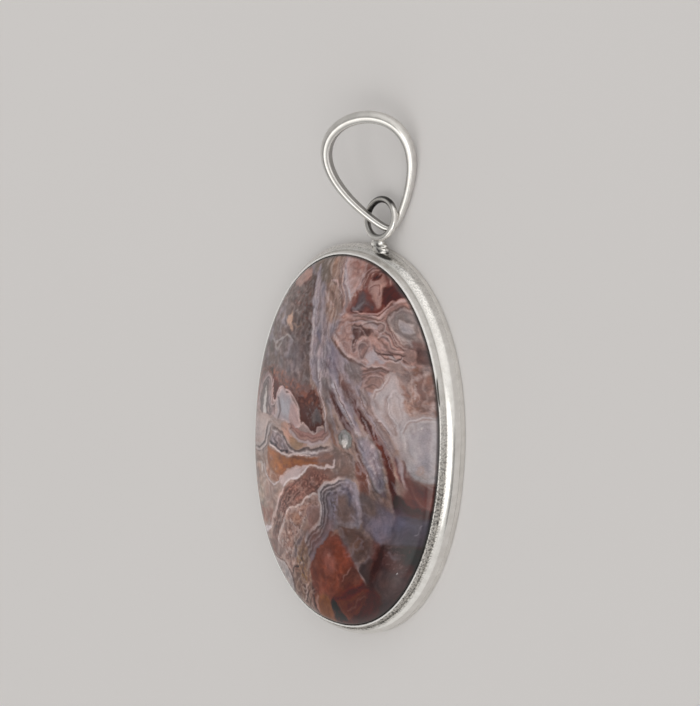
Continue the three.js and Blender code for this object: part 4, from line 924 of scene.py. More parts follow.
    # the lower left: lace lines that run down to the edge
    p.patch([(-4.2, -11.4), (-2.8, -11.8), (-2.2, -13), (-2, -15), (-2.1, -16.8), (-2.4, -18.6),
        (-2.4, -21.5), (-7.5, -20), (-6, -17.6), (-5.6, -16.2), (-4.8, -15.2), (-4.6, -13.4)],
        [(0, (140, 112, 102)), (0.6, (134, 104, 90))], soft=0.3)
    p.mottle([(-4.2, -12.4), (-2.4, -12.8), (-2.2, -16.6), (-4, -17), (-4.4, -15)], (168, 142, 118), 0.6, 73,
        soft=0.5, low=0)
    p.mottle([(-5.6, -15.6), (-2.6, -15.4), (-2.6, -20.6), (-6.6, -20)], (106, 74, 68), 0.7, 75, soft=0.5,
        amount=0.7, low=0)
    p.lace([(-3, -10.6), (-3.5, -11.8), (-4.2, -12.8), (-4.6, -13.8), (-5.1, -14.6)],
        [(-0.4, (176, 156, 150)), (-0.2, (130, 112, 112)), (0.1, (110, 96, 98)), (0.35, (160, 140, 136))],
        rough=0.1, ends=(0.1, 0.1), strength=0.85)
    p.vein([(-3.2, -14), (-3.9, -14.7), (-4.1, -15.2), (-4.9, -15.6), (-5.5, -16.2), (-5.9, -16.8)],
        (0.15, 0.2, 0.12), (64, 44, 42), soft=0.1, strength=1)
    p.vein([(-3.4, -14.8), (-4.4, -15.1), (-5.2, -15.4)], 0.16, (180, 156, 146), soft=0.15, strength=0.7)
    p.vein([(-2.2, -15), (-2.4, -16.2), (-2.9, -17.2), (-3.4, -17.7)], 0.2, (116, 84, 76), strength=0.7)
    p.lace([(-2.3, -16.9), (-3, -17.4), (-3.1, -18.3), (-3.6, -19), (-4.2, -19.8)], [(-0.2, (196, 170, 162)),
        (0, (190, 160, 150)), (0.12, (70, 46, 42)), (0.3, (120, 88, 80))], ends=(0.1, 0.1), strength=0.9)
    p.vein([(-1.2, -18.2), (-1.6, -19), (-1.7, -20.2)], (0.15, 0.35, 0.2), (176, 132, 118))
    p.vein([(-2.2, -18.6), (-2.6, -19.6), (-2.6, -20.6)], (0.2, 0.4, 0.2), (158, 124, 114), soft=0.3)
    # a pale grey lens at the edge of the lower left
    p.patch([(-10.8, -14.6), (-9.2, -15.2), (-7.6, -15.3), (-6.4, -15.9), (-5.6, -17), (-5.6, -18.2),
        (-6.6, -19.2), (-9, -18.6), (-12, -16)], [(0, (104, 74, 68)), (0.3, (120, 94, 88)),
        (0.4, (180, 168, 164)), (0.8, (160, 150, 148)), (1.3, (176, 166, 162))], soft=0.2)
    p.mottle([(-10, -15.4), (-7, -15.8), (-6, -17.4), (-8, -18.6)], (148, 136, 132), 0.6, 77, soft=0.6,
        amount=0.5, low=0)
    p.patch([(-9.4, -13.4), (-8.2, -13.4), (-7.6, -14.8), (-9, -15), (-11.2, -14.4), (-12.2, -13.9)],
        [(0, (120, 88, 80)), (0.4, (132, 100, 90))], soft=0.4)

    # lace: thin lines that fill the fields between the larger bands
    line_pale, line_dark = (196, 176, 172), (92, 68, 64)
    p.loops([(3, 15), (6.6, 15.2), (8, 13), (10.4, 12.4), (12.4, 11.4), (11.4, 9.6), (9, 9.4), (6, 6.8),
        (3.6, 8.6)], 1.9, 1.5, 81, (176, 152, 145), (114, 90, 84), 0.3)
    p.loops([(-0.6, 21), (3, 20.6), (5.4, 20.4), (3, 18.4), (2, 16.8), (0.6, 15.8), (-0.6, 18.6)], 1.5, 1.3,
        84, line_pale, (126, 88, 80), 0.45)
    p.loops([(0.2, 15), (3, 14.8), (4.4, 11), (1.6, 10.8), (-0.4, 12.6)], 1.4, 1.3, 87, (184, 170, 168),
        line_dark, 0.5)
    p.loops([(-5.2, 19.8), (-0.8, 21), (0.4, 15.2), (0.2, 8.4), (-1.6, 5.4), (-3.4, 8), (-4.2, 14)], 0.9, 1.3,
        90, (190, 176, 172), (96, 78, 72), 0.5, run=100, stretch=4.5)
    p.loops([(-1.4, 9), (4, 9.6), (8.4, 4.6), (11.4, -2), (9.6, -4.6), (6.6, -3.4), (2.2, 1), (-0.8, 4.6)], 1,
        1.2, 93, (178, 162, 162), (88, 60, 56), 0.5, run=-52, stretch=4)
    p.loops([(-15, 13), (-8, 17), (-4, 16), (-3.4, 6), (-8, 6.6), (-14.6, 6.4)], 1.6, 1.1, 96,
        (158, 146, 142), (74, 58, 56), 0.4)
    p.loops([(8.6, 9.6), (11.4, 6.6), (15.2, 5.6), (15.2, -2), (12, -1), (9.4, 3.2), (7.2, 6.4)], 2.6, 1.1,
        99, (190, 182, 180), (158, 142, 136), 0.3)
    p.loops([(-15, -3.4), (-10, -3.4), (-7.4, -6.4), (-9.4, -12.6), (-13.6, -13)], 1.7, 1.2, 102,
        (178, 160, 150), (104, 80, 72), 0.45)
    p.loops([(-8.6, -10), (-5, -9), (-2.4, -11.6), (-2, -20), (-7, -19.6), (-9.4, -15)], 1.2, 1.2, 105,
        (184, 162, 150), (84, 58, 52), 0.55, run=62, stretch=1.8)
    p.loops([(-2, -4), (-6, -7.4), (-8.8, -12.6), (-6.8, -12), (-3.4, -8), (1.4, -4.2)], 1, 1.2, 108,
        (170, 136, 122), (78, 50, 46), 0.5, run=48, stretch=2.2)
    p.loops([(1.8, -4.6), (6, -4), (8.4, -9.4), (5.6, -13), (2.2, -9.6)], 1.6, 0.9, 111, (150, 138, 144),
        (88, 74, 74), 0.35)
    p.loops([(-1.8, -11), (3, -9.6), (6.2, -14.4), (1.6, -20.6), (-2, -18)], 2, 0.9, 114, (156, 100, 82),
        (92, 50, 42), 0.2)

    # thin outlines, a pale and a dark one side by side, along the folds that show most
    for points, pale_line, dark_line in (
            ([(2, 15.55), (3.2, 15.5), (4.6, 15.6), (5.8, 15.85), (6.5, 16.3), (7, 17),
              (7.6, 17.5)], (190, 156, 148), (104, 68, 62)),
            ([(2, 15), (3.4, 15.3), (5, 15.25), (6.3, 15.4), (6.9, 15.8)], (164, 138, 130), (118, 90, 83)),
            ([(3.8, 14.1), (4.6, 14.65), (5.6, 14.9), (6.4, 15), (7, 14.7), (6.9, 14.1),
              (6.4, 13.6)], (184, 164, 158), (128, 102, 95)),
            ([(5.2, 12.95), (4.5, 13.3), (4.2, 13.7), (3.2, 13.95), (2.5, 13.95)], (158, 132, 124),
              (88, 64, 60)),
            ([(3.8, 12.7), (3.75, 12), (3.6, 11.3), (3.2, 11.1), (2.95, 11.6),
              (2.95, 12.5)], (156, 134, 130), (84, 62, 60)),
            ([(6.3, 13.3), (7, 13.55), (7.6, 13.4), (8, 12.95), (8.5, 12.55),
              (9.2, 12.45)], (176, 156, 150), (116, 92, 86)),
            ([(7, 14.2), (7.6, 13.9), (8.2, 13.45), (8.7, 13.05), (9.4, 12.75)], (164, 142, 136),
              (100, 77, 73)),
            ([(9.9, 12), (9.95, 11.5), (9.6, 11.05), (9, 11.1), (8.2, 11.25), (7.3, 11.3), (6.7, 11.45),
              (6.2, 11.75), (5.95, 12.3)], (182, 164, 160), (88, 66, 63)),
            ([(8, 12.35), (8.8, 12.1), (9.9, 11.95), (10.4, 12.1)], (152, 126, 118), (96, 72, 68)),
            ([(5.3, 12.1), (5.2, 11.3), (4.7, 10.7), (4.1, 11), (4, 11.8), (4.5, 12.3),
              (5.3, 12.1)], (172, 148, 141), (118, 90, 84)),
            ([(0.9, 11.5), (1.8, 10.85), (2.9, 10.4), (4.1, 10.2), (4.9, 10.15), (5.8, 9.95), (6.8, 10.2),
              (7.8, 10.35), (8.5, 10.1)], (190, 168, 162), (112, 88, 82)),
            ([(5, 8.9), (5.8, 9.15), (6.6, 9.6), (7.6, 9.85), (8.3, 9.75)], (150, 126, 120), (110, 90, 86)),
            ([(5.3, 8), (6.1, 8.6), (7, 9.05), (7.9, 9.1), (8.4, 8.6)], (166, 138, 132), (122, 96, 90)),
            ([(5.5, 7.5), (6.4, 8), (7.2, 8.3), (7.7, 7.9)], (160, 132, 126), (124, 98, 92)),
            ([(6.9, 6.6), (7.3, 7.4), (8, 8), (8.5, 8.8), (8.8, 9.7)], (188, 176, 174), (150, 128, 122)),
            ([(9.3, 7.6), (9.1, 6.9), (9.15, 6.2), (9.4, 5.4), (10, 4.8), (10.5, 4.3),
              (10.75, 3.5)], (198, 188, 186), (150, 132, 126)),
            ([(11.2, 3.2), (11.45, 4), (12, 4.7), (12.8, 5.25), (13.6, 5.55), (14.6, 5.6)], (204, 196, 195),
              (158, 138, 132)),
            ([(7.9, 4.3), (8.6, 4.2), (9.2, 3.7), (9.9, 2.9)], (194, 182, 182), (128, 106, 102)),
            ([(-10.15, 5), (-9.95, 4.1), (-9.6, 3), (-9.2, 2.9), (-8.9, 3.6), (-8.7, 4.5), (-8, 4.75),
              (-7.5, 4.5), (-6.9, 4.75), (-6.1, 4.4), (-5, 3.7), (-4.4, 2.7), (-4.1, 1.6), (-3.7, 1.4),
              (-3.4, 1.8), (-2.9, 1.4), (-2.2, 0.9), (-1.4, 0.95), (-0.8, 1.6),
              (0.2, 1.8)], (190, 166, 160), None),
            ([(-12.9, 3), (-12.4, 4.6), (-11.6, 5.3), (-10.9, 5.2), (-10.5, 4.4), (-10.2, 3.2), (-10, 2.4),
              (-9.5, 2.3), (-9.1, 2.9)], (194, 172, 168), (104, 88, 86)),
            ([(-1.3, 8.4), (-1.25, 7), (-1.1, 5.8), (-0.6, 4.8), (0, 3.6), (0.2, 2.4),
              (0.5, 1.2)], (192, 178, 176), (112, 88, 84)),
            ([(1, 7.6), (1.7, 6.5), (2.6, 5.4), (3.4, 4.5), (4.3, 3.5), (5.1, 2.8)], (192, 180, 180),
              (98, 66, 62)),
            ([(-4.8, 18), (-4.2, 15.6), (-3.7, 13), (-3.3, 10.8), (-3.2, 9)], (180, 166, 164), None),
            ([(-1.2, 19.6), (-0.7, 18.4), (0, 17.4), (0.5, 16.5), (0.6, 15.6)], (186, 160, 150),
              (112, 84, 74)),
            ([(3.3, 19.5), (3.9, 20.1), (4.8, 20.1), (5.8, 19.6), (6.2, 19)], (176, 140, 130), (108, 72, 66)),
            ([(2.2, 18.4), (2.3, 19.2), (2.7, 20), (3.5, 20.5), (4.6, 20.5), (5.8, 20.1),
              (6.8, 19.5)], (184, 150, 142), (126, 88, 80)),
            ([(2.9, 18.4), (2.9, 19.2), (3.2, 19.9), (4, 20.3), (5, 20.25), (6.1, 19.8)], (178, 142, 132),
              (120, 80, 72)),
            ([(3.6, 18.2), (4.1, 18.8), (4.9, 18.8), (5.3, 18.1), (5.2, 17.4)], (196, 160, 150),
              (140, 98, 88))):
        if dark_line:
            p.lace(points, [(-0.2, dark_line), (-0.08, dark_line), (0.04, pale_line), (0.12, pale_line)],
                soft=0.1, ends=(0.08, 0.08), strength=0.75)
        else:
            p.vein(points, (0.08, 0.16, 0.16, 0.08), pale_line, soft=0.1, rough=0.02)

    # painted glints: tiny pale spots on the polish that stand for highlights of the light
    for at_x, at_y, size in (
            (13.4, 4.5, 0.07), (13.2, 4.3, 0.04), (12.95, 4.8, 0.03), (12, 9.1, 0.03), (12.1, 8.3, 0.03),
            (12.2, 7.6, 0.03), (11, -12.6, 0.05)):
        p.vein([(at_x, at_y - size), (at_x, at_y + size)], size * 2, (214, 206, 200), soft=0.08, rough=0,
            strength=1)

    # beige and orange streaks in the brown field at the right, and paler and golden patches low down
    at_right = [(10.6, 10.6), (12.4, 11.2), (14.6, 9.6), (15.2, 6.2), (13.2, 5.9), (11.4, 5.6), (10.4, 7.6)]
    p.mottle(at_right, (182, 160, 152), 1.1, 83, low=-0.1)
    p.mottle(at_right, (140, 92, 68), 0.7, 84, amount=0.6)
    p.mottle(at_right, (112, 84, 78), 0.45, 85, soft=0.6, amount=0.5, low=0.25)
    for points in (
            [(10.8, 10.8), (11.3, 9.8), (11.1, 8.8), (11.6, 7.8), (11.5, 6.6)],
            [(12.4, 10.9), (12.9, 9.9), (12.7, 9), (13.3, 8), (13.1, 6.9), (13.8, 6.2)],
            [(14.2, 8.9), (14, 8), (14.6, 7.2), (14.4, 6.2)]):
        p.lace(points, [(-0.22, (126, 96, 88)), (-0.08, (120, 88, 78)), (0.06, (182, 160, 150)),
            (0.2, (176, 154, 144))], soft=0.22, ends=(0.1, 0.1), strength=0.4)
    p.patch([(0.4, -12.8), (1.4, -11.9), (2.3, -12.8), (2.1, -14.4), (0.9, -14.6)], (146, 94, 84), soft=1.1,
        rough=0.3, strength=0.5)
    p.patch([(2, -10.8), (3.4, -10.6), (4.6, -12.4), (4, -13.4), (2.6, -12.6)], (146, 72, 50), soft=1,
        rough=0.3, strength=0.5)
    p.mottle([(-4.5, -13), (-3.2, -13.2), (-2.5, -15), (-2.3, -17.2), (-3.5, -17.4), (-4.4, -15.4)],
        (148, 108, 66), 0.5, 86, soft=0.5, amount=0.75, low=0)
    p.vein([(-3, -12.9), (-3.5, -13.9), (-3.1, -14.9), (-3.6, -15.7), (-3.2, -16.6)], (0.1, 0.25, 0.2, 0.1),
        (84, 66, 66), soft=0.15, rough=0.1, strength=0.7)

    # hazes: clear layers above the bands that darken, lighten or tint them
    for haze in (
            (1.6, -9.4, 2.4, -0.3), (-2, -12.4, 2.2, -0.25), (4.6, -9.4, 2.2, -0.2), (8.4, -15, 2.6, -0.25),
            (13.6, -2.4, 2, -0.25), (0.8, 1.2, 2.2, -0.15), (2, -20, 2.6, -0.15), (1.4, -6, 1.8, -0.25),
            (-3, -19, 2.4, -0.25), (12.4, 0.6, 2.6, -0.05), (-6.6, 8, 3, 0.2), (-7.6, 4.6, 1.8, 0.1),
            (-9.6, 13.4, 3, 0.3), (-12.8, 6.4, 2.2, -0.3), (-9, 6.4, 1.6, 0.2), (-3.6, 4, 1.6, 0.15),
            (-11.6, 0.8, 1.8, 0.25), (-9, -1.2, 1.6, 0.15), (-9.2, -5.2, 2.4, 0.25), (-12.6, -7.6, 3, 0.28),
            (-6.4, -8.8, 1.6, 0.35), (-3.6, -6.2, 1.8, 0.3), (9, -3.6, 1.8, -0.3), (11.2, -4, 1.8, -0.3),
            (13.6, -1.6, 1.4, -0.25), (6.6, -8.6, 2, -0.2), (13.6, -9.6, 2, -0.25), (9.2, 6, 3, 0.12),
            (8.2, -12.2, 2.2, -0.18), (12.2, -9, 1.8, -0.2), (4.2, -17.8, 2.4, -0.22), (4.4, -13.6, 2, -0.12),
            (-0.6, -14.4, 2.6, -0.12), (12.4, -4.6, 1.6, -0.2), (9, 14, 1.9, 0.22), (8.8, 18.2, 1.6, 0.2),
            (-1.4, 18.8, 1.8, 0.25), (12.4, 8, 2.2, 0.12), (2.6, -20.6, 1.6, 0.4),
            (-6.4, 8.2, 2.8, 0.45, (126, 116, 120)), (-8.4, 6.8, 1.4, 0.3, (122, 100, 94)),
            (-1.4, -11, 1.5, 0.6, (112, 70, 60)), (1.4, -9.2, 1.3, 0.45, (116, 82, 76)),
            (9.6, -14.2, 2.2, 0.3, (92, 68, 66)), (12, 8.4, 2.8, 0.22, (176, 154, 148)),
            (-13.2, 5.6, 1.9, 0.45, (112, 80, 73)), (8.6, 9.4, 3.4, 0.1),
            (13.2, 5.6, 2, 0.1, (190, 176, 172)), (9.8, -13, 3, 0.12),
            (4.6, 10.6, 2.6, 0.16, (160, 142, 144)), (11.5, -6.6, 1.5, 0.35, (84, 82, 112)),
            (12.5, -10.8, 1.5, 0.6, (46, 28, 28)), (4.4, -16, 1.1, 0.4, (84, 34, 22)),
            (2.6, -17.2, 1.2, 0.3, (96, 50, 34)), (9.8, -4.2, 1, 0.3, (92, 54, 46))):
        p.glaze(*haze)
    # the whole face a little greyer, darker and bluer than the bands were mixed
    greyer, darker = 0.05, np.array((0.905, 0.88, 0.925))
    grey_light = p.light @ np.array((0.25, 0.65, 0.1))
    return (p.light * (1 - greyer) + grey_light[:, None] * greyer) * darker


def soften(field, cells):
    """The field blurred over this many cells of the grid."""
    pad = int(3 * cells) + 2
    wide = np.pad(field, pad, mode='reflect')
    along_y, along_x = np.fft.fftfreq(wide.shape[0])[:, None], np.fft.rfftfreq(wide.shape[1])
    spread = np.exp(-2 * (np.pi * cells) ** 2 * (along_y ** 2 + along_x ** 2))
    return np.fft.irfft2(np.fft.rfft2(wide) * spread, wide.shape)[pad:-pad, pad:-pad]


def drawn_out(fields, turn, steps):
    """Each field averaged along the bands, which run at this angle in the grid."""
    rows, columns = turn.shape
    home_y, home_x = np.mgrid[0:rows, 0:columns].astype(float)
    total = [f.copy() for f in fields]
    for way in (1, -1):
        y, x = home_y.copy(), home_x.copy()
        run_y, run_x = way * np.sin(turn), way * np.cos(turn)
        for _ in range(steps):
            y, x = np.clip(y + run_y, 0, rows - 1), np.clip(x + run_x, 0, columns - 1)
            j, i = np.rint(y).astype(int), np.rint(x).astype(int)
            for t, f in zip(total, fields):
                t += f[j, i]
            here_y, here_x = np.sin(turn[j, i]), np.cos(turn[j, i])
            flip = np.where(here_y * run_y + here_x * run_x < 0, -1, 1)
            run_y, run_x = here_y * flip, here_x * flip
    return [t / (2 * steps + 1) for t in total]


def grain(light, x, y):
    """Fine lines and streaks that follow the painted bands, as the layers of the agate do."""
    lum = np.log(light @ np.array((0.3, 0.5, 0.2)) + 0.02)
    slope_y, slope_x = np.gradient(soften(lum, 1.5))
    slopes = slope_x ** 2, slope_x * slope_y, slope_y ** 2
    xx, xy, yy = (soften(j, 4) + 0.25 * soften(j, 14) for j in slopes)
    turn = 0.5 * np.arctan2(2 * xy, xx - yy) + np.pi / 2
    dice = np.random.default_rng(11)
    fine, wide = dice.normal(size=lum.shape), soften(dice.normal(size=lum.shape), 1.6)
    streaks = [s / s.std() for s in drawn_out([fine, wide], turn, 5)]
    smooth = soften(lum, 3.5)
    phase = smooth * 9 + 0.8 * bumps(x, y, 2.6, 61) + 0.35 * bumps(x, y, 1.0, 62)
    phase_y, phase_x = np.gradient(phase)
    steep = phase_x ** 2 + phase_y ** 2
    lines = np.sin(2 * np.pi * phase) * np.exp(-steep / 0.25 ** 2)
    thin_phase = 2.3 * phase + 0.5 * bumps(x, y, 1.6, 63)
    thin_lines = np.sin(2 * np.pi * thin_phase) * np.exp(-steep / 0.11 ** 2)
    cloud = bumps(x, y, 1.7, 64) + 0.6 * bumps(x, y, 0.7, 65) + 0.4 * bumps(x, y, 0.3, 67)
    crisp = lum - soften(lum, 2.4)
    dark = np.clip((-0.9 - smooth) / 0.6, 0, 1)
    pale = np.clip((smooth + 1.25) / 0.45, 0, 1)
    change = (0.05 * streaks[0] + 0.07 * streaks[1] + 0.07 * lines + 0.05 * thin_lines
              + (0.07 + 0.03 * dark) * cloud + 0.3 * crisp + 0.03 * dice.normal(size=lum.shape))
    warm = 0.025 * streaks[1] + (0.02 + 0.05 * dark) * bumps(x, y, 1.3, 66)
    change, warm = change * (1 - 0.65 * pale), warm * (1 - 0.8 * pale)
    return light * np.exp(change[..., None] + warm[..., None] * np.array((0.6, -0.2, -0.8)))


def paint_on(piece, name, colours):
    """Gives every point of a piece its colour, under this name."""
    tint = np.ones((len(colours), 4))
    tint[:, :3] = colours
    layer = piece.data.color_attributes.new(name, 'FLOAT_COLOR', 'POINT')
    layer.data.foreach_set('color', tint.ravel())


rows = (cells_along + 1, cells_across + 1)
face = paint(dome_x, dome_y).reshape(*rows, 3)
face = grain(face, dome_x.reshape(rows), dome_y.reshape(rows)).reshape(-1, 3)
# what the polish reflects comes off the paint, more where the dome turns down at the right
at_rim = (np.clip((laid - 0.72) / 0.2, 0, 1) * np.clip(dome_x / 4, 0, 1))[:, None]
face = np.clip((face * (1 - 0.14 * at_rim) - 0.018 - 0.006 * at_rim) / 0.86, 0.004, 0.9)
edge_shadow = np.clip((laid - 0.991) / 0.008, 0, 1)
girdle_grey = 0.2
bands = np.full((len(stone.data.vertices), 3), girdle_grey)
bands[:len(dome_x)] = face * (1 - 0.8 * edge_shadow)[:, None]
paint_on(stone, 'bands', bands)

agate, agate_surface, add, join = shader('polished_agate')
painted = add('VertexColor', {'layer_name': 'bands'})
where = add('TexCoord').outputs['Object']
speckle = add('TexNoise', Vector=where, Scale=6000.0, Detail=3.0, Roughness=0.7).outputs['Fac']
shaded = add('MixRGB', {'blend_type': 'MULTIPLY'}, Fac=1.0, Color1=painted.outputs['Color'],
             Color2=carried(add, speckle, 0.3, 0.7, 0.88, 1.12))
join(shaded.outputs['Color'], 'Base Color')
join(carried(add, speckle, 0.0, 1.0, 0.05, 0.13), 'Roughness')
join(add('Bump', Height=speckle, Strength=0.4, Distance=0.002 * MM).outputs['Normal'], 'Normal')
agate_surface.inputs['IOR'].default_value = 1.54
stone.data.materials.append(agate)
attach(stone, 'setting')
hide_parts('agate_cabochon')

# The setting: a heavy silver wall with a rounded shoulder, cut by hand, and above a narrow crease
# the thin lip that was pushed over the stone's edge. It is soldered on the back plate.

oval_steps = 480


def oval_circle(name, outside, height):
    """A circle primitive laid on the oval, in edit mode with its ring selected."""
    bpy.ops.object.select_all(action='DESELECT')
    bpy.ops.mesh.primitive_circle_add(vertices=oval_steps, radius=1)
    piece = bpy.context.object
    piece.name = name
    x, y, _ = points_of(piece)
    x, y = on_oval(x, y)
    wider = (oval_half_width + outside) / oval_half_width
    longer = (oval_half_length + outside) / oval_half_length
    set_points(piece, x * wider, y * longer, np.full(len(x), height))
    bpy.ops.object.mode_set(mode='EDIT')
    bpy.ops.mesh.select_all(action='SELECT')
    return piece


# from the bottom of the inside over the lip, the crease and the shoulder, and down the outside
setting_profile = [
    (0.38, 0.7), (0.38, 1.9), (0.12, 2.5), (0.07, 2.74), (0.09, 2.84), (0.14, 2.885), (0.2, 2.9),
    (0.25, 2.89), (0.3, 2.85), (0.34, 2.78), (0.38, 2.65), (0.43, 2.45), (0.475, 2.28), (0.49, 2.22),
    (0.51, 2.17), (0.535, 2.165), (0.555, 2.19), (0.575, 2.215), (0.6, 2.225), (0.63, 2.215),
    (0.68, 2.175), (0.76, 2.1), (0.85, 2.01), (0.94, 1.915), (1.02, 1.82), (1.1, 1.71), (1.17, 1.59),
    (1.225, 1.46), (1.265, 1.33), (1.29, 1.2), (1.3, 1.06), (1.3, 0.74), (1.28, 0.705), (1.24, 0.7)]
setting = oval_circle('setting_wall', *setting_profile[0])
rings(setting_profile)
bpy.ops.mesh.select_all(action='DESELECT')
bpy.ops.mesh.select_mode(type='EDGE')
bpy.ops.mesh.select_non_manifold()
bpy.ops.mesh.bridge_edge_loops()
finish_mesh()


def silver(name, low, high, dull, grain_size, grain_depth):
    """Silver with cloudy wear, between two tones, and a fine grain of this size and depth in millimetres."""
    material, surface, add, join = shader(name)
    surface.inputs['Metallic'].default_value = 1
    where = add('TexCoord').outputs['Object']
    wear = add('TexNoise', Vector=where, Scale=1100.0, Detail=5.0).outputs['Fac']
    metal = two_tones(add, wear, low, high, 0.3, 0.7)
    dullness = carried(add, wear, 0.0, 1.0, dull * 0.6, dull * 1.4)
    fine = add('TexNoise', Vector=where, Scale=1 / (grain_size * MM), Detail=3.0)
    grain_bump = add('Bump', Height=fine.outputs['Fac'], Strength=1.0, Distance=grain_depth * MM)
    join(metal, 'Base Color')
    join(dullness, 'Roughness')
    join(grain_bump.outputs['Normal'], 'Normal')
    return material, add, join, metal, dullness, where, grain_bump.outputs['Normal']


def spot(add, where, middle, long, wide, deep, turn=0):
    """A soft spot, 1 at its middle and 0 at its rim, in millimetres from the oval's middle."""
    place = add('Mapping', {'vector_type': 'TEXTURE'}, Vector=where,
                Location=(Vector(middle) + OVAL_MIDDLE) * MM, Rotation=(0, 0, math.radians(turn)),
                Scale=(long * MM, wide * MM, deep * MM)).outputs['Vector']
    return add('TexGradient', {'gradient_type': 'SPHERICAL'}, Vector=place).outputs['Fac']


setting_silver, add, join, metal, dullness, where, grain_normal = silver(
    'setting_silver', (0.77, 0.75, 0.72), (0.88, 0.865, 0.84), 0.15, 0.5, 0.006)
along = add('SeparateXYZ', Vector=where).outputs['Y']
height = add('SeparateXYZ', Vector=where).outputs['Z']

# the lip is pitted at the bottom and darker towards the top
on_lip = carried(add, height, 2.0 * MM, 2.2 * MM)
pits = add('TexNoise', Vector=where, Scale=4600.0, Detail=3.0, Roughness=0.65).outputs['Fac']
pitted = two_tones(add, pits, (0.16, 0.155, 0.15), (0.86, 0.85, 0.83), 0.38, 0.55)
rubbed = carried(add, along, -10 * MM, 1 * MM, 1.0, 0.08)
darker_to_top = carried(add, along, 4 * MM, 12 * MM, 0.0, 0.45)
more_on_lip = add('Math', {'operation': 'SUBTRACT'}, i0=rubbed, i1=darker_to_top).outputs['Value']
pit_share = add('Math', {'operation': 'MULTIPLY_ADD'}, i0=more_on_lip, i1=on_lip, i2=darker_to_top).outputs['Value']
lip_tone = add('MixRGB', {'blend_type': 'MULTIPLY'}, Fac=pit_share, Color1=metal, Color2=pitted)

# painted highlight: the lip's edge, burnished against the stone, is made near white and barely metallic so it
# shows as the bright line of light along the rim; this is left out at the right
rim_highlight_band = carried(add, height, 2.84 * MM, 2.88 * MM)
highlight_gap = spot(add, where, (15.4, -3.5, 2.85), 4, 15, 4)
highlight_kept = carried(add, highlight_gap, 0.0, 0.35, 1.0, 0.1, eased=True)
rim_highlight = add('Math', {'operation': 'MULTIPLY'}, i0=rim_highlight_band, i1=highlight_kept).outputs['Value']
highlighted_tone = add('MixRGB', Fac=rim_highlight, Color1=lip_tone.outputs['Color'], Color2=(0.97, 0.96, 0.94, 1))
join(carried(add, rim_highlight, 0.0, 1.0, 1.0, 0.2), 'Metallic')

# painted shade and reflection: dark slits at the foot of the ring, where the ring's dark reflection falls on
# the wall, along the stone's edge, where the gap lies in shadow, and in the crease
dark = 0.0
for middle, turn, long, wide in (((3.4, 21.6, 2.2), -8, 1.9, 0.26), ((14.3, 8.5, 2.85), -75, 2.1, 0.09),
                                 ((16.1, -2.6, 2.7), -89, 0.6, 0.12)):
    shade_slit = spot(add, where, middle, long, wide, 1, turn)
    dark = add('Math', {'operation': 'MAXIMUM'}, i0=dark, i1=shade_slit).outputs['Value']
wall_tone = add('MixRGB', Fac=carried(add, dark, 0.1, 0.4, 0.0, 0.95, eased=True),
                Color1=highlighted_tone.outputs['Color'], Color2=(0.05, 0.045, 0.04, 1))
join(wall_tone.outputs['Color'], 'Base Color')
satin = carried(add, on_lip, 0.0, 1.0, 0.0, 0.2)
join(add('Math', {'operation': 'ADD'}, i0=dullness, i1=satin).outputs['Value'], 'Roughness')
pit_depth = add('Math', {'operation': 'MULTIPLY'}, i0=pits, i1=pit_share).outputs['Value']
pit_bump = add('Bump', Height=pit_depth, Normal=grain_normal, Strength=1.0, Distance=0.05 * MM)
join(pit_bump.outputs['Normal'], 'Normal')
setting.data.materials.append(setting_silver)
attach(setting, 'setting')
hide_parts('bezel')

# The back plate: sheet silver, cut to the outline of the wall after soldering, its edge eased
# with a file.

plate_profile = [(1.18, 0), (1.24, 0.02), (1.28, 0.06), (1.3, 0.12), (1.3, 0.66), (1.28, 0.695), (1.24, 0.7)]
plate = oval_circle('back_sheet', *plate_profile[0])
bpy.ops.mesh.edge_face_add()
bpy.ops.mesh.select_all(action='SELECT')
bpy.ops.mesh.region_to_loop()
rings(plate_profile)
bpy.ops.mesh.edge_face_add()
finish_mesh()
plate_silver = silver('plate_silver', (0.72, 0.70, 0.67), (0.84, 0.82, 0.79), 0.24, 0.3, 0.006)[0]
plate.data.materials.append(plate_silver)
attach(plate, 'setting')
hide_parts('back_plate')

# The hanging ring: a round ring of wire that droops a little, on a short foot that solder has
# flared out over the wall. Ring, foot and solder are one body.

ring_middle = Vector((2.08, 25.64, 1.6)) + OVAL_MIDDLE
ring_radius, ring_wire = 2.15, 0.385
ring_droop = math.radians(9.5)
foot_top, foot_base, foot_flatness = 0.8, 1.3, 0.55
foot_start, foot_length, foot_slope = 0.3, 1.35, math.radians(24)
solder_reach, solder_size = 0.9, (1.3, 0.56, 0.42)
solder_web = 0.05

bpy.ops.object.select_all(action='DESELECT')
bpy.ops.mesh.primitive_torus_add(major_radius=ring_radius * MM, minor_radius=ring_wire * MM,
                                 major_segments=96, minor_segments=32,
                                 location=ring_middle * MM, rotation=(-ring_droop, 0, 0))
ring = bpy.context.object
ring.name = 'soldered_ring'
drooped = Matrix.Rotation(-ring_droop, 3, 'X')
near_side = ring_middle + drooped @ Vector((0, -ring_radius, 0))
foot_run = Matrix.Rotation(foot_slope, 3, 'X') @ Vector((0, -1, 0))
foot_side = Vector((1, 0, 0))
foot_turn = Matrix((foot_side, (-foot_run).cross(foot_side), -foot_run)).transposed().to_euler()
bpy.ops.mesh.primitive_cone_add(
    vertices=48, radius1=foot_base * MM, radius2=foot_top * MM, depth=foot_length * MM, rotation=foot_turn,
    location=(near_side + foot_run * (foot_start + foot_length / 2)) * MM, scale=(1, foot_flatness, 1))
foot = bpy.context.object
bpy.ops.object.transform_apply(location=True, rotation=True, scale=True)
bpy.ops.mesh.primitive_uv_sphere_add(
    segments=48, ring_count=24, radius=1, location=(near_side + foot_run * solder_reach) * MM,
    rotation=foot_turn, scale=[size * MM for size in solder_size])
solder = bpy.context.object
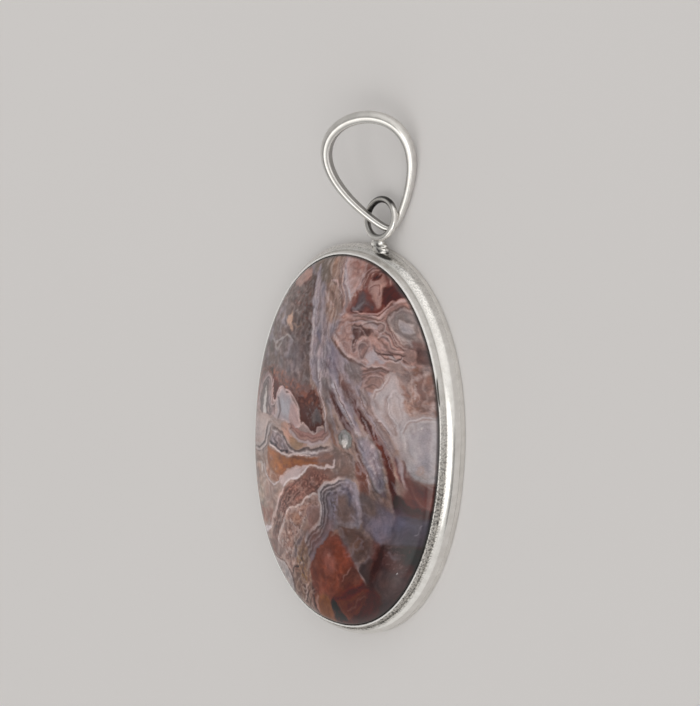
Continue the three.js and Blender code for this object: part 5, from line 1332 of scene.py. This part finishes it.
bpy.ops.object.transform_apply(location=True, rotation=True, scale=True)
bpy.ops.object.select_all(action='DESELECT')
ring.select_set(True)
bpy.context.view_layer.objects.active = ring
bpy.ops.object.transform_apply(location=True, rotation=True, scale=True)
foot.select_set(True)
solder.select_set(True)
bpy.ops.object.join()
remesh = ring.modifiers.new('solder', 'REMESH')
remesh.mode = 'VOXEL'
remesh.voxel_size = solder_web * MM
bpy.ops.object.modifier_apply(modifier='solder')
ease = ring.modifiers.new('ease', 'SMOOTH')
ease.factor, ease.iterations = 0.5, 8
bpy.ops.object.modifier_apply(modifier='ease')
bpy.ops.object.shade_smooth()

# the ring made darker on the inside, on the far side and in patches over the foot and solder
place = points_of(ring) / MM - np.array(OVAL_MIDDLE)[:, None]
lumps = bumps(place[0], place[1], 0.5, 121) * bumps(place[1], place[2], 0.6, 122)
place = np.array(drooped.transposed()) @ (place - np.array(ring_middle - OVAL_MIDDLE)[:, None])
round_ring = np.degrees(np.arctan2(place[1], place[0]))
from_line = (np.hypot(place[0], place[1]) - ring_radius) / ring_wire
far_side = np.clip((round_ring - 35) / 20, 0, 1) * np.clip((185 - round_ring) / 20, 0, 1)
inner_side = np.clip(-from_line * 1.4, 0, 1)
darkening = np.maximum(far_side * np.clip(np.abs(from_line) * 2.2 - 0.3, 0, 1), 0.8 * inner_side)
at_foot = np.clip((-place[1] - ring_radius - 0.2) / 0.3, 0, 1)
darkening = np.maximum(darkening * (1 - at_foot), at_foot * np.clip(lumps * 4 + 0.2, 0, 0.8))
paint_on(ring, 'tarnish', (1 - 0.93 * darkening)[:, None])

ring_silver, add, join, metal, *_ = silver(
    'ring_silver', (0.74, 0.72, 0.69), (0.88, 0.86, 0.83), 0.18, 0.35, 0.012)
darkened_metal = add('MixRGB', {'blend_type': 'MULTIPLY'}, Fac=1.0, Color1=metal,
                Color2=add('VertexColor', {'layer_name': 'tarnish'}).outputs['Color'])
join(darkened_metal.outputs['Color'], 'Base Color')
ring.data.materials.append(ring_silver)
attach(ring, 'setting')
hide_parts('hanging_ring')

# The bail: a teardrop of polished silver wire, drawn down towards the link and fused into one
# loop, rounded outside and flatter inside. It hangs in the ring and lies on its side edge.

bail_middle = Vector((1.47, 30.62, 2.52)) + OVAL_MIDDLE
bail_half_height, bail_width = 6.42, 5.95
bail_power, bail_roundness = 1.13, 0.15
thickness_low, thickness_high = 0.39, 0.73
breadth_low, breadth_high = 0.39, 0.69
bail_inside, bail_squareness = 0.85, 4.5
bail_lean, bail_dip, bail_turn = math.radians(26.4), math.radians(7.4), math.radians(19.5)

bpy.ops.object.select_all(action='DESELECT')
bpy.ops.mesh.primitive_torus_add(major_radius=2, minor_radius=1, major_segments=256, minor_segments=64)
bail = bpy.context.object
bail.name = 'teardrop_bail'


def teardrop(turn):
    """The middle line of the wire, at a turn from its low end, in the plane of the bail."""
    swell = (np.sin(turn / 2) ** 2 + bail_roundness) ** (bail_power / 2)
    return np.array((bail_width * np.sin(turn) * swell, -bail_half_height * np.cos(turn)))


x, y, z = points_of(bail)
turn = np.arctan2(y, x)
across = np.hypot(x, y) - 2
up_the_bail = np.sin(turn / 2) ** 2
thickness = thickness_low + (thickness_high - thickness_low) * up_the_bail
breadth = breadth_low + (breadth_high - breadth_low) * up_the_bail
run = teardrop(turn + 0.001) - teardrop(turn - 0.001)
run /= np.hypot(*run)
round_power = np.where(across < 0, 2 / bail_squareness, 1)
out = np.sign(across) * np.abs(across) ** round_power * thickness * np.where(across < 0, bail_inside, 1)
side = np.sign(z) * np.abs(z) ** round_power
flat_x, flat_y = teardrop(turn) + np.array((run[1], -run[0])) * out
lie = (Matrix.Rotation(bail_lean, 3, 'Y') @ Matrix.Rotation(bail_dip, 3, 'X')
       @ Matrix.Rotation(bail_turn, 3, 'Z'))
place = np.array(lie) @ np.array((flat_x, flat_y, side * breadth)) + np.array(bail_middle)[:, None]
bail.data.vertices.foreach_set('co', (place.T * MM).ravel())
bail.data.update()
bpy.ops.object.shade_smooth()

# how pale and how dull the wire is, at degrees round it from its outside: the paler and darker bands are
# painted highlight and painted shade along the edges of the facets, and the dullness follows the facets left
# by the file
round_wire = np.degrees(np.arctan2(np.abs(z), across))
painted_sheen_and_shade = np.interp(round_wire, (0, 55, 72, 78, 84, 91, 96, 102, 112, 122, 128, 138, 144, 152, 160),
                 (0.86, 0.88, 0.84, 0.98, 1.12, 1.12, 0.5, 0.34, 0.62, 0.66, 1.1, 1.1, 0.4, 0.62, 0.5))
dull = np.interp(round_wire, (0, 60, 76, 92, 98, 120, 127, 139, 146),
                 (0.36, 0.36, -0.04, -0.04, 0.2, 0.2, -0.04, -0.04, 0.3))
paint_on(bail, 'wear', np.column_stack((painted_sheen_and_shade, painted_sheen_and_shade, dull)))
bail_silver, add, join, metal, dullness, *_ = silver(
    'bail_silver', (0.76, 0.74, 0.71), (0.89, 0.87, 0.84), 0.13, 0.6, 0.008)
# the painted highlight and shade bands scale the silver's tone; the dullness adds to its roughness
wear = add('SeparateXYZ', Vector=add('VertexColor', {'layer_name': 'wear'}).outputs['Color']).outputs
sheened_tone = add('VectorMath', {'operation': 'SCALE'}, i0=metal, Scale=wear['X'])
join(sheened_tone.outputs['Vector'], 'Base Color')
join(add('Math', {'operation': 'ADD'}, i0=dullness, i1=wear['Z']).outputs['Value'], 'Roughness')
bail.data.materials.append(bail_silver)
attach(bail, 'bail')
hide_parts('bail')
